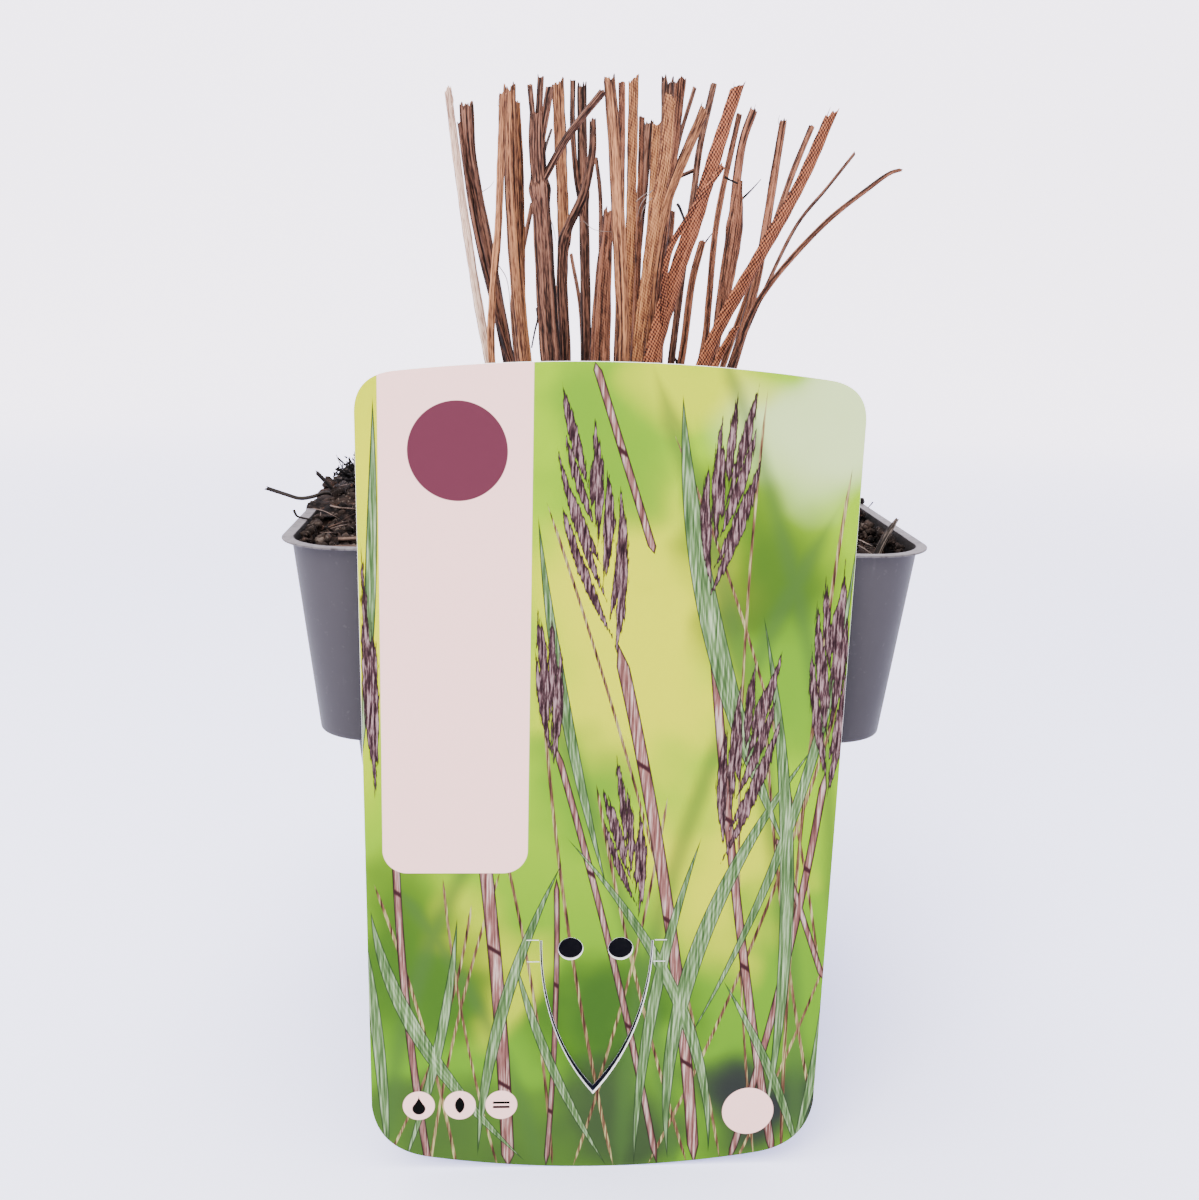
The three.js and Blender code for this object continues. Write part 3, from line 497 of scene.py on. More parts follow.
def finish_piece(mesh: Mesh, looks: tuple[Look, ...], nodes: tuple[str, ...] = (),
                 crease: float | None = None) -> None:
    """Puts a mesh in the scene as a piece of the object.

    Args:
        mesh: the finished mesh, in place.
        looks: its materials.
        nodes: the solids that it stands for.
        crease: angle in degrees past which an edge stays sharp.
    """
    piece = placed(mesh.name, mesh)
    for look in looks:
        mesh.materials.append(look)
    if crease is not None:
        mesh.set_sharp_from_angle(angle=math.radians(crease))
    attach(piece, BODY)
    if nodes:
        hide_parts(*nodes)
    LOG.info("%s: %d faces", piece.name, len(mesh.polygons))


def mesh_of_patches(name: str, patches: list[Patch]) -> Mesh:
    """One mesh of several patches, with their grain, relief and tone."""
    starts = np.cumsum([0] + [len(patch.points) for patch in patches[:-1]])
    quads = np.concatenate([patch.quads + start for patch, start in zip(patches, starts)])
    mesh = mesh_from(name, np.concatenate([patch.points for patch in patches]), quads)
    for key in ("grain", "relief", "tone"):
        add_attribute(mesh, key, np.concatenate([getattr(patch, key) for patch in patches]))
    return mesh


class Socket:
    """A number on its way through a material. Arithmetic on it adds Math nodes."""

    def __init__(self, shader: "Shader", link: bpy.types.NodeSocket) -> None:
        """Wraps one output of a node of the shader."""
        self.shader = shader
        self.link = link

    def math(self, operation: str, *others: "Socket | float") -> "Socket":
        """This value and others, put through one Math node."""
        values = dict(enumerate((self, *others)))
        return self.shader.node("ShaderNodeMath", {"operation": operation}, values)

    def __add__(self, other: "Socket | float") -> "Socket":
        """Sum."""
        return self.math("ADD", other)

    __radd__ = __add__

    def __sub__(self, other: "Socket | float") -> "Socket":
        """Difference."""
        return self.math("SUBTRACT", other)

    def __rsub__(self, other: float) -> "Socket":
        """A number less this value."""
        return (self * -1.0).math("ADD", other)

    def __mul__(self, other: "Socket | float") -> "Socket":
        """Product."""
        return self.math("MULTIPLY", other)

    __rmul__ = __mul__

    def __abs__(self) -> "Socket":
        """Size without sign."""
        return self.math("ABSOLUTE")

    def reach(self, other: "Socket") -> "Socket":
        """Length of the way across and up that this value and another give."""
        return (self * self + other * other).math("SQRT")

    def at_least(self, other: "Socket | float") -> "Socket":
        """The larger of two values."""
        return self.math("MAXIMUM", other)

    def wave(self) -> "Socket":
        """Sine of this value."""
        return self.math("SINE")

    def step(self, low: float, high: float) -> "Socket":
        """Smooth step from 0 at low to 1 at high; a low above high falls instead."""
        settings = {"interpolation_type": "SMOOTHSTEP"}
        values = {"Value": self, "From Min": low, "From Max": high}
        return self.shader.node("ShaderNodeMapRange", settings, values)


class Shader:
    """A material under construction, with one Principled shader."""

    def __init__(self, name: str, roughness: float, **fixed: float) -> None:
        """Starts a material; fixed gives the shader's own sockets by name, with _ for a space."""
        self.material = bpy.data.materials.new(name)
        self.material.use_nodes = True
        self.tree = self.material.node_tree
        self.surface = self.tree.nodes["Principled BSDF"]
        self.surface.inputs["Roughness"].default_value = roughness
        for socket, value in fixed.items():
            self.surface.inputs[socket.replace("_", " ")].default_value = value

    def plug(self, target: bpy.types.NodeSocket, value: "Socket | float | tuple") -> None:
        """Links a socket to a value, or sets it to a plain one."""
        if isinstance(value, Socket):
            self.tree.links.new(value.link, target)
        elif isinstance(value, tuple) and len(target.default_value) == 4:
            target.default_value = (*value, 1.0)
        else:
            target.default_value = value

    def node(self, kind: str, settings: dict | None = None, values: dict | None = None,
             out: int | str = 0) -> Socket:
        """Adds a node.

        Args:
            kind: the node's type.
            settings: its own properties; stops gives a ramp's places and colours.
            values: what its sockets get, by name or number.
            out: the output to go on with.

        Returns:
            That output.
        """
        node = self.tree.nodes.new(kind)
        for key, value in (settings or {}).items():
            if key == "stops":
                ramp = node.color_ramp.elements
                while len(ramp) < len(value):
                    ramp.new(0.5)
                for stop, (place, color) in zip(ramp, value):
                    stop.position = place
                    stop.color = (*color, 1.0)
            else:
                setattr(node, key, value)
        for key, value in (values or {}).items():
            self.plug(node.inputs[key], value)
        return Socket(self, node.outputs[out])

    def place(self) -> Socket:
        """Object coordinates, in metres."""
        return self.node("ShaderNodeTexCoord", out="Object")

    def attribute(self, name: str, out: str) -> Socket:
        """A value stored on the mesh."""
        return self.node("ShaderNodeAttribute", {"attribute_name": name}, out=out)

    def stretched(self, vector: Socket, scale: Point) -> Socket:
        """A vector times a fixed one."""
        return self.node("ShaderNodeVectorMath", {"operation": "MULTIPLY"}, {0: vector, 1: scale})

    def parts(self, vector: Socket) -> tuple[Socket, Socket, Socket]:
        """The three numbers of a vector."""
        node = self.tree.nodes.new("ShaderNodeSeparateXYZ")
        self.tree.links.new(vector.link, node.inputs[0])
        return tuple(Socket(self, node.outputs[k]) for k in range(3))

    def noise(self, vector: Socket, scale: float, detail: float = 2.0, rough: float = 0.5) -> Socket:
        """Noise from 0 to 1, gathered round one half."""
        values = {"Vector": vector, "Scale": scale, "Detail": detail, "Roughness": rough}
        return self.node("ShaderNodeTexNoise", None, values)

    def ramp(self, value: Socket, *stops: Stop) -> Socket:
        """Colour that runs through the stops as the value rises."""
        return self.node("ShaderNodeValToRGB", {"stops": stops}, {0: value})

    def mix(self, share: "Socket | float", low: "Socket | Color", high: "Socket | Color") -> Socket:
        """Colour between two."""
        return self.node("ShaderNodeMix", {"data_type": "RGBA"}, {0: share, 6: low, 7: high}, out=2)

    def finish(self, color: Socket, height: Socket | None = None, distance: float = 0.1,
               strength: float = 1.0, roughness: Socket | None = None) -> Look:
        """Links colour, roughness and a bump of the given distance in millimetres."""
        self.plug(self.surface.inputs["Base Color"], color)
        if roughness is not None:
            self.plug(self.surface.inputs["Roughness"], roughness)
        if height is not None:
            values = {"Strength": strength, "Distance": distance * MM, "Height": height}
            self.plug(self.surface.inputs["Normal"], self.node("ShaderNodeBump", None, values))
        return self.material


@dataclass(frozen=True)
class DryGrass:
    """Finish of a dry stem: its colour in the furrows, on the flat and on the ridges; the
    furrows' dark is partly painted shade and the ridges' light partly painted highlight.

    Hatch is how strongly the fine cross ribs of a broad blade show.
    """

    name: str
    deep: Color
    base: Color
    light: Color
    hatch: float = 0.0
    specular: float = 0.08

    def material(self) -> Look:
        """Streaks, dashes and clouds along the grain, with painted highlight and shade from the relief and
        painted shade near the foot.
        """
        shader = Shader(self.name, 0.65, Specular_IOR_Level=self.specular)
        grain = shader.attribute("grain", "Vector")
        relief = shader.attribute("relief", "Fac")
        tone = shader.attribute("tone", "Fac")
        across, _, along = shader.parts(grain)
        streak = shader.noise(shader.stretched(grain, (3.4, 3.4, 0.07)), 1.0, 3.0, 0.66)
        dash = shader.noise(shader.stretched(grain, (5.4, 5.4, 0.6)), 1.0, 2.0, 0.6)
        cloud = shader.noise(shader.stretched(grain, (0.4, 0.4, 0.09)), 1.0, 2.0, 0.5)
        # The relief carries painted highlight on the ridges and painted shade in the furrows, at the sides
        # and in a hollow end
        value = relief * 0.24 + streak * 3.3 + dash * 1.9 + cloud * 0.8 + tone * 0.07 - 2.51
        # Painted shade: darker near the foot, down among the other stems
        value = value - along.step(34.0, 4.0) * 0.15
        if self.hatch > 0:
            rows = (across * 12.5 + along * 4.5).wave() * (along * 8.2 - across * 4.0).wave()
            value = value * (1.0 - 0.45 * self.hatch) + rows * (0.6 * self.hatch) + 0.2 * self.hatch
        middle = tuple(0.6 * a + 0.4 * b for a, b in zip(self.base, self.light))
        color = shader.ramp(value, (0.06, self.deep), (0.36, self.base), (0.62, middle), (0.98, self.light))
        return shader.finish(color, dash * 0.6 + streak * 0.8, distance=0.16, strength=0.8)


@dataclass(frozen=True)
class Plastic:
    """Finish of the pot: grey plastic, painted shade low down, a lip pale from wear and painted highlight,
    soil stains and painted shade inside.
    """

    wall: Color = (0.0388, 0.0345, 0.0384)
    # Darker wall colour: painted shade towards the collar's bottom, and cloudy patches of tone
    shade: Color = (0.0312, 0.0277, 0.0314)
    # Painted shade: near black for the lower body below the shoulder, as in the shade behind the card
    foot: Color = (0.0125, 0.0115, 0.0125)
    # Pale lip plastic: partly wear, partly painted highlight where the lip faces the light; it also tints
    # pale specks on the wall
    lip: Color = (0.092, 0.082, 0.085)
    scuff: Color = (0.030, 0.0255, 0.0265)
    # Near black for the inner wall: soil stains darkened further as painted shade
    dirt_and_shade: Color = (0.0042, 0.0034, 0.0033)
    dust: Color = (0.0120, 0.0096, 0.0092)
    core_growth: float = 0.0543
    core_foot: float = 30.52
    corner_growth: float = 0.058
    corner_foot: float = 2.6

    def material(self) -> Look:
        """Faint wear and painted shade on the outside, a lip pale partly from painted highlight, and soil
        stains with painted shade inside.

        The collar's two faces are told apart by their distance from a square through the
        corners' centres. That square and the corners' radius both grow with height.
        """
        shader = Shader("pot_plastic", 0.5, Specular_IOR_Level=0.12)
        place = shader.place()
        x, y, z = (part * (1 / MM) for part in shader.parts(place))
        cloud = shader.noise(place, 30.0, 3.0, 0.5)
        blot = shader.noise(place, 260.0, 3.0, 0.65)
        speck = shader.noise(place, 1100.0, 2.0, 0.6)
        drag = shader.noise(shader.stretched(place, (1000.0, 1000.0, 60.0)), 1.0, 2.0, 0.5)
        core = z * self.core_growth + self.core_foot
        dx = (abs(x) - core).at_least(0.0)
        dy = (abs(y) - core).at_least(0.0)
        depth = dx.reach(dy) - (z * self.corner_growth + self.corner_foot)
        # Painted shade: the collar darkens towards its bottom; the cloudy patches are plain tone
        low = z.step(92.0, 62.0) * 0.45 + cloud.step(0.4, 0.65) * 0.25
        color = shader.mix(low, self.wall, self.shade)
        color = shader.mix(speck.step(0.62, 0.75) * 0.18 + drag.step(0.64, 0.8) * 0.1, color, self.lip)
        # Painted shade: everything below the shoulder is painted near black
        color = shader.mix(z.step(SHOULDER + 1.5, SHOULDER), color, self.foot)
        # The lip's top and front are painted pale: partly wear and dust, partly painted highlight
        rubbed_and_highlit = z.step(RIM_HEIGHT - LIP_DEPTH - 0.05, RIM_HEIGHT - LIP_DEPTH + 0.12)
        worn_and_highlit = shader.mix(blot.step(0.45, 0.65) * 0.45 + speck.step(0.46, 0.66) * 0.6, self.lip, self.scuff)
        color = shader.mix(rubbed_and_highlit, color, worn_and_highlit)
        # Inner faces of the collar: soil stains and dust, darkened as painted shade
        inside = (depth + (blot - 0.5) * 0.3).step(0.1, -0.1) * z.step(62.0, 66.0)
        soiled_and_shaded = shader.mix(blot.step(0.42, 0.62) * 0.6 + speck.step(0.45, 0.7) * 0.4, self.dirt_and_shade, self.dust)
        color = shader.mix(inside, color, soiled_and_shaded)
        grain = speck * 0.5 + drag * 0.3
        roughness = cloud * 0.2 + inside * 0.4 + 0.4
        return shader.finish(color, grain, distance=0.05, strength=0.35, roughness=roughness)


@dataclass(frozen=True)
class Earth:
    """Finish of the soil and its crumbs: dark peat with brown and rusty bits."""

    name: str
    dark: Color = (0.0036, 0.0028, 0.0029)
    brown: Color = (0.0170, 0.0110, 0.0092)
    rust: Color = (0.046, 0.0235, 0.0165)
    ash: Color = (0.090, 0.070, 0.060)

    def material(self) -> Look:
        """Patches of brown on near black, with rusty and ashen specks."""
        shader = Shader(self.name, 0.9, Specular_IOR_Level=0.05)
        place = shader.place()
        patch = shader.noise(place, 320.0, 5.0, 0.66)
        speck = shader.noise(place, 1500.0, 3.0, 0.6)
        tuft = shader.noise(shader.stretched(place, (1.0, 2.4, 2.0)), 520.0, 3.0, 0.6)
        color = shader.mix(patch.step(0.45, 0.62), self.dark, self.brown)
        color = shader.mix(tuft.step(0.57, 0.68) * 0.8, color, self.rust)
        color = shader.mix(speck.step(0.60, 0.70) * 0.7, color, self.ash)
        return shader.finish(color, speck + patch, distance=0.3, strength=1.0)


@dataclass(frozen=True)
class Fibre:
    """Finish of a kind of loose fibre in the soil."""

    name: str
    pale: Color
    deep: Color

    def material(self) -> Look:
        """Cloudy colour from deep to pale."""
        shader = Shader(self.name, 0.75, Specular_IOR_Level=0.08)
        cloud = shader.noise(shader.place(), 420.0, 3.0, 0.6)
        return shader.finish(shader.mix(cloud.step(0.35, 0.65), self.deep, self.pale), cloud, distance=0.05)


# Printed stems and leaves from back to front: across and up at the foot, the same at
# the tip, half the width in the middle, and the bow to the side
STROKES = {
    "far": (
        (30, 2, 6, 114, 1.3, 5), (4, 0, 29, 96, 1.1, -6), (-30, 4, -12, 60, 1.0, -4),
        (12, 0, -9, 74, 1.0, 3), (33, 40, 14, 118, 0.9, 4), (-8, 0, -28, 44, 0.9, 3),
    ),
    "stalks": (
        (19, 0, -8.5, 99, 0.22, 2), (24, 0, 20, 114, 0.2, -3), (-20, 0, -31.5, 45, 0.24, 1),
        (3, 0, -8.8, 76, 0.26, -1.5), (28, 0, 31.8, 104, 0.26, -2), (-24, 0, -14, 47, 0.22, -1),
        (8, 0, 32, 72, 0.26, 2), (32, 30, 8, 108, 0.22, 3), (-31, 0, -18, 42, 0.22, 2),
        (14, 0, -1, 60, 0.24, -1), (-6, 0, -13.5, 50, 0.24, 1), (32, 10, 22, 70, 0.24, -1),
        (-14, 0, -22, 46, 0.2, -1), (21, 0, 33, 34, 0.22, 0.5), (-3, 0, 9, 58, 0.22, 1.2),
    ),
    "culms": (
        (15, 0, 1.4, 80, 0.92, 1.6), (27, 0, 13.6, 88, 0.7, -1.2), (-12.5, 0, -16.4, 50, 1.0, 0.5),
        (9.5, 0, -6.9, 66, 0.55, 0.8), (-24, 0, -28.5, 50, 0.6, -0.8), (20, 0, 30.9, 62, 0.6, 1.2),
        (6, 92, -2.5, 117, 0.6, 0), (-7, 0, -6.2, 46, 0.45, 0.6), (24.5, 52, 32.5, 30, 0.5, 0),
    ),
    "leaves": (
        (11, 1, 29.5, 66, 1.25, -6.5), (17, 2, -5, 52, 1.0, 5.5), (-10, 1, -32, 41, 1.25, -4.2),
        (25, 6, 21, 84, 1.05, 3.4), (-17, 2, -5.5, 48, 0.95, -2.4), (26, 50, 9, 113, 1.6, -3.2),
        (-33, 62, -30.8, 112, 0.8, 0.5), (29, 0, 33.5, 48, 1.0, 1.9), (1, 44, -9.5, 97, 0.85, -1.2),
        (-28, 0, -20, 40, 0.8, 1.4), (13, 20, 33, 94, 0.8, 4.2), (6, 0, 14, 52, 0.9, -2.0),
        (-30, 0, -33.5, 40, 0.9, 0.6), (2, 0, -12, 34, 0.8, -1.6), (31, 0, 18, 30, 0.8, 1.2),
    ),
}

# Printed flower heads: across and up at the root and at the tip, then their spikes'
# count, spread and half width
PLUMES = (
    (1.2, 78, -5.4, 114, 10, 4.2, 0.78), (13.4, 86, 17.6, 116, 8, 3.6, 0.78),
    (-7.0, 62, -8.6, 88, 6, 1.8, 0.6), (31.2, 58, 30.2, 94, 9, 3.0, 0.78),
    (16.8, 48, 22.6, 82, 9, 3.8, 0.78), (-31.2, 58, -32.2, 92, 4, 0.8, 0.6),
    (5.5, 40, 0.8, 64, 7, 2.8, 0.62),
)


@dataclass(frozen=True)
class Stroke:
    """A printed stem or leaf on the card: a bowed line from foot to tip.

    Places are millimetres across the card from its middle and up from its foot. The
    line's half width is even, or swells in the middle where swell is on.
    """

    foot: Pair
    tip: Pair
    half: float
    bow: float = 0.0
    swell: bool = False

    def terms(self) -> tuple[float, ...]:
        """The line as x = a + b w + c w w, its ends, and how its half width grows from them."""
        (x0, low), (x1, high) = self.foot, self.tip
        span = high - low
        lean, curve = (x1 - x0 + 4 * self.bow) / span, -4 * self.bow / span**2
        a = x0 - lean * low + curve * low * low
        b = lean - 2 * curve * low
        grow = 4 * self.half / span**2 if self.swell else 24 * self.half / span**2
        return (a, b, curve, low, high, grow, self.half)


def plume(root: Pair, tip: Pair, spikes: int, spread: float, half: float) -> list[Stroke]:
    """Spikes of a flower head: each leaves the middle line a little higher than the last,
    to the left and right in turn, and runs nearly along with it."""
    strokes = []
    dx, dw = tip[0] - root[0], tip[1] - root[1]
    for k in range(spikes):
        side = (-1) ** k
        low, high = 0.07 * k, 0.60 + 0.40 * (k + 1) / spikes - 0.10 * (k % 3)
        out = side * spread * (1 - 0.8 * k / spikes)
        foot = (root[0] + dx * low, root[1] + dw * low)
        end = (root[0] + dx * high + out, root[1] + dw * high)
        strokes.append(Stroke(foot, end, half * (1 - 0.05 * (k % 4)), 0.16 * out, True))
    return strokes


@dataclass(frozen=True)
class CardPrint:
    """Finish of the printed card: a soft green meadow with grasses, a bare pale panel,
    one plum dot and four small plain discs.

    Places on the card are millimetres across from its middle and up from its foot. The
    panel is given by its middle, half width, lower edge and corner, a disc by its middle
    and radius.
    """

    panel_box: tuple[float, ...] = (-20.25, 10.0, 46.6, 3.4)
    plum_disc: Point = (-20.0, 105.2, 6.5)
    bare_disc: Point = (22.6, 8.9, 3.8)
    sign_places: Point = (-25.5, -19.6, -13.6)
    sign_row: float = 10.4
    sign_radius: float = 2.3
    soft: float = 0.06
    panel: Color = (0.81, 0.490, 0.435)
    dot: Color = (0.082, 0.0205, 0.0330)
    dark: Color = (0.003, 0.003, 0.003)
    yellow: Color = (0.43, 0.45, 0.0)
    lime: Color = (0.185, 0.335, 0.0)
    leaf: Color = (0.082, 0.200, 0.010)
    deep: Color = (0.027, 0.068, 0.0115)
    shadow: Color = (0.0185, 0.0205, 0.0195)
    haze: Color = (0.41, 0.51, 0.215)
    far: Color = (0.040, 0.085, 0.020)
    knot: Color = (0.028, 0.010, 0.012)
    stalk: tuple[Stop, ...] = (
        (0.38, (0.024, 0.0105, 0.0090)), (0.5, (0.110, 0.052, 0.030)), (0.62, (0.30, 0.27, 0.11)),
    )
    rod_edge: Color = (0.0125, 0.0075, 0.0075)
    rod: tuple[Stop, ...] = (
        (0.34, (0.060, 0.024, 0.022)), (0.5, (0.185, 0.082, 0.070)), (0.66, (0.42, 0.31, 0.27)),
    )
    leaf_edge: Color = (0.010, 0.018, 0.008)
    vein: tuple[Stop, ...] = (
        (0.34, (0.026, 0.054, 0.017)), (0.5, (0.080, 0.140, 0.050)), (0.70, (0.27, 0.35, 0.20)),
    )
    husk_edge: Color = (0.016, 0.0080, 0.0095)
    husk: tuple[Stop, ...] = (
        (0.38, (0.0125, 0.0060, 0.0078)), (0.5, (0.052, 0.027, 0.030)), (0.62, (0.235, 0.150, 0.150)),
    )

    def field_of(self, shader: Shader, across: Socket, up: Socket, strokes: list[Stroke]) -> Socket:
        """How far inside the nearest of the strokes a point lies, in millimetres.

        Three strokes are worked out at once as the three numbers of a vector: the half
        width there less the distance to the line.
        """
        def vector(operation: str, *values: "Socket | tuple") -> Socket:
            """One Vector Math node."""
            return shader.node("ShaderNodeVectorMath", {"operation": operation}, dict(enumerate(values)))

        inside = None
        place = shader.node("ShaderNodeCombineXYZ", None, {0: across, 1: across, 2: across})
        rise = shader.node("ShaderNodeCombineXYZ", None, {0: up, 1: up, 2: up})
        for start in range(0, len(strokes), 3):
            group = [stroke.terms() for stroke in (strokes[start:start + 3] * 3)[:3]]
            a, b, c, low, high, grow, half = (tuple(column) for column in zip(*group))
            line = vector("MULTIPLY_ADD", vector("MULTIPLY_ADD", c, rise, b), rise, a)
            away = vector("ABSOLUTE", vector("SUBTRACT", place, line))
            ends = vector("MULTIPLY", vector("SUBTRACT", rise, low), vector("SUBTRACT", high, rise))
            width = vector("MINIMUM", vector("MULTIPLY", ends, grow), half)
            for part in shader.parts(vector("SUBTRACT", width, away)):
                inside = part if inside is None else inside.at_least(part)
        return inside

    def disc(self, across: Socket, up: Socket, x: float, w: float, radius: float) -> Socket:
        """1 inside a disc and 0 outside it, with a fine soft edge."""
        return (across - x).reach(up - w).step(radius + self.soft, radius - self.soft)

    def meadow(self, shader: Shader, across: Socket, up: Socket) -> Socket:
        """The blurred ground of the print: broad soft ovals, one over the other.

        Each has its middle, its half width and height, its tint and its share of it.
        """
        flat = shader.node("ShaderNodeCombineXYZ", None, {0: across, 1: up, 2: 3.0})
        drift = (shader.noise(flat, 0.055, 2.0, 0.5) - 0.5) * 34.0
        x, w = across + drift, up - drift * 0.8
        color = shader.mix(up.step(20.0, 70.0), self.leaf, self.lime)
        for cx, cw, rx, rw, tint, share in (
            (3, 80, 15, 22, self.yellow, 1.0), (-31, 92, 11, 34, self.yellow, 1.0),
            (17, 47, 12, 14, self.yellow, 0.9), (-14, 30, 8, 11, self.yellow, 0.6),
            (0, 105, 10, 12, self.leaf, 0.8), (20, 88, 11, 13, self.deep, 0.9),
            (29, 72, 10, 15, self.leaf, 0.9), (-2, 58, 8, 9, self.leaf, 0.9),
            (-28, 34, 12, 15, self.deep, 0.85), (31, 32, 10, 13, self.leaf, 0.8),
            (3, 24, 12, 12, self.deep, 0.95), (-20, 5, 16, 9, self.shadow, 0.7),
            (27, 9, 13, 12, self.shadow, 1.0), (2, 8, 11, 10, self.shadow, 0.85),
            (28, 112, 13, 13, self.haze, 1.0), (12, 113, 7, 7, self.yellow, 0.7),
        ):
            dx, dw = (x - cx) * (1 / rx), (w - cw) * (1 / rw)
            color = shader.mix((dx * dx + dw * dw).step(1.5, 0.0) * share, color, tint)
        return color

    def grasses(self) -> dict[str, list[Stroke]]:
        """Strokes of the print by kind, from back to front."""
        kinds = {
            kind: [Stroke((x0, w0), (x1, w1), *size, kind == "leaves") for x0, w0, x1, w1, *size in rows]
            for kind, rows in STROKES.items()
        }
        heads = [plume((x0, w0), (x1, w1), *size) for x0, w0, x1, w1, *size in PLUMES]
        return {**kinds, "plumes": sum(heads, [])}

    def material(self) -> Look:
        """The whole print, laid on in order from its ground to its discs."""
        shader = Shader("label_print", 0.6, Specular_IOR_Level=0.0)
        x, _, z = shader.parts(shader.place())
        across, up = x * (1 / MM) - CARD_SHIFT, z * (1 / MM)
        flat = shader.node("ShaderNodeCombineXYZ", None, {0: across, 1: up})
        husks = shader.noise(shader.stretched(flat, (3.4, 0.33, 1.0)), 1.0, 3.0, 0.62)
        rough = shader.noise(flat, 2.2, 3.0, 0.7)
        grain = shader.noise(shader.stretched(flat, (3.2, 0.14, 1.0)), 1.0, 3.0, 0.6)
        kinds = {kind: self.field_of(shader, across, up, strokes) for kind, strokes in self.grasses().items()}
        color = self.meadow(shader, across, up)
        color = shader.mix(kinds["far"].step(-1.3, 1.0) * 0.6, color, self.far)
        color = shader.mix(kinds["stalks"].step(-0.03, 0.06), color, shader.ramp(grain, *self.stalk))
        rod = shader.mix(kinds["culms"].step(0.04, 0.42), self.rod_edge, shader.ramp(grain, *self.rod))
        joint = (up * 0.31 + across * 0.2).wave().step(0.985, 1.0)
        color = shader.mix(kinds["culms"].step(-0.03, 0.07), color, shader.mix(joint, rod, self.knot))
        lines = (kinds["leaves"] * 9.0).wave() * 0.05 + grain
        green = shader.mix(kinds["leaves"].step(0.02, 0.30), self.leaf_edge, shader.ramp(lines, *self.vein))
        color = shader.mix(kinds["leaves"].step(-0.03, 0.07), color, green)
        barbs = kinds["plumes"] + (husks - 0.5) * 1.1
        husk = shader.mix(barbs.step(0.05, 0.40), self.husk_edge, shader.ramp(husks, *self.husk))
        color = shader.mix(barbs.step(-0.06, 0.08) * kinds["plumes"].step(-0.5, -0.25), color, husk)
        color = self.plain_marks(shader, across, up, color)
        return shader.finish(color, rough, distance=0.01, strength=0.15)

    def plain_marks(self, shader: Shader, across: Socket, up: Socket, color: Socket) -> Socket:
        """The bare panel, its plum dot, and the discs along the foot with simple signs."""
        centre, half, low, corner = self.panel_box
        dx = (abs(across - centre) - (half - corner)).at_least(0.0)
        dw = (low + corner - up).at_least(0.0)
        color = shader.mix(dx.reach(dw).step(corner + self.soft, corner - self.soft), color, self.panel)
        color = shader.mix(self.disc(across, up, *self.plum_disc), color, self.dot)
        row = self.sign_row
        for disc in (*((x, row, self.sign_radius) for x in self.sign_places), self.bare_disc):
            color = shader.mix(self.disc(across, up, *disc), color, self.panel)
        drop, leaf, bars = self.sign_places
        left, right = (self.disc(across, up, leaf + side, row, 1.6) for side in (-0.9, 0.9))
        color = shader.mix(left * right, color, self.dark)
        foot = row - 0.5
        taper = (up - foot).step(2.1, 0.0)
        waist = (abs(across - drop) - taper * 0.85).step(0.06, -0.06) * (up - (foot - 1.0)).step(-0.1, 0.1)
        waist = waist * (up - (foot + 2.1)).step(0.05, -0.05) * (up - foot).step(0.0, 0.05)
        color = shader.mix(waist.at_least(self.disc(across, up, drop, foot, 0.95)), color, self.dark)
        lines = (abs((up - row) * 4.4).wave()).step(0.55, 0.8) * (abs(across - bars)).step(1.3, 1.15)
        return shader.mix(lines * (abs(up - row)).step(1.5, 1.3), color, self.dark)


@dataclass(frozen=True)
class Paper:
    """Finish of the card's cut edges and its unprinted back."""

    white: Color = (0.80, 0.79, 0.775)

    def material(self) -> Look:
        """White card with a faint fleck."""
        shader = Shader("label_paper", 0.6, Specular_IOR_Level=0.2)
        fleck = shader.noise(shader.place(), 900.0, 3.0, 0.6)
        color = shader.mix(fleck.step(0.35, 0.7) * 0.25, self.white, (0.66, 0.65, 0.63))
        return shader.finish(color, fleck, distance=0.01, strength=0.3)


GRASS_LOOKS = {
    Tint.CREAM: DryGrass("dry_cream", (0.20, 0.115, 0.085), (0.49, 0.31, 0.225), (0.76, 0.56, 0.43)),
    Tint.PEACH: DryGrass("dry_peach", (0.044, 0.0174, 0.0115), (0.190, 0.0732, 0.0340),
                         (0.52, 0.236, 0.093), hatch=0.4),
    Tint.TAN: DryGrass("dry_tan", (0.0215, 0.0090, 0.0067), (0.142, 0.0575, 0.0315), (0.43, 0.188, 0.083)),
    Tint.ORANGE: DryGrass("dry_orange", (0.0150, 0.0052, 0.0040), (0.117, 0.0345, 0.0175),
                          (0.37, 0.135, 0.062), hatch=0.95),
    Tint.BROWN: DryGrass("dry_brown", (0.0118, 0.0050, 0.0040), (0.078, 0.0290, 0.0176),
                         (0.28, 0.114, 0.064), hatch=0.2),
    Tint.DARK: DryGrass("dry_dark", (0.0078, 0.0040, 0.0034), (0.044, 0.0192, 0.0136), (0.22, 0.100, 0.064)),
}

SCRAP_LOOKS = {
    Tint.CREAM: DryGrass("old_straw", (0.022, 0.013, 0.0105), (0.062, 0.037, 0.028), (0.17, 0.108, 0.080)),
    Tint.TAN: DryGrass("old_leaf", (0.016, 0.0092, 0.0075), (0.048, 0.028, 0.0215), (0.13, 0.080, 0.060)),
    Tint.ORANGE: DryGrass("old_blade", (0.016, 0.0072, 0.0058), (0.050, 0.0235, 0.0175),
                          (0.17, 0.090, 0.068)),
    Tint.BROWN: DryGrass("old_bark", (0.008, 0.0060, 0.0052), (0.050, 0.037, 0.031), (0.19, 0.150, 0.128)),
    Tint.ROOT: DryGrass("dead_root", (0.0022, 0.0019, 0.0020), (0.0058, 0.0046, 0.0044),
                        (0.025, 0.018, 0.0155)),
}


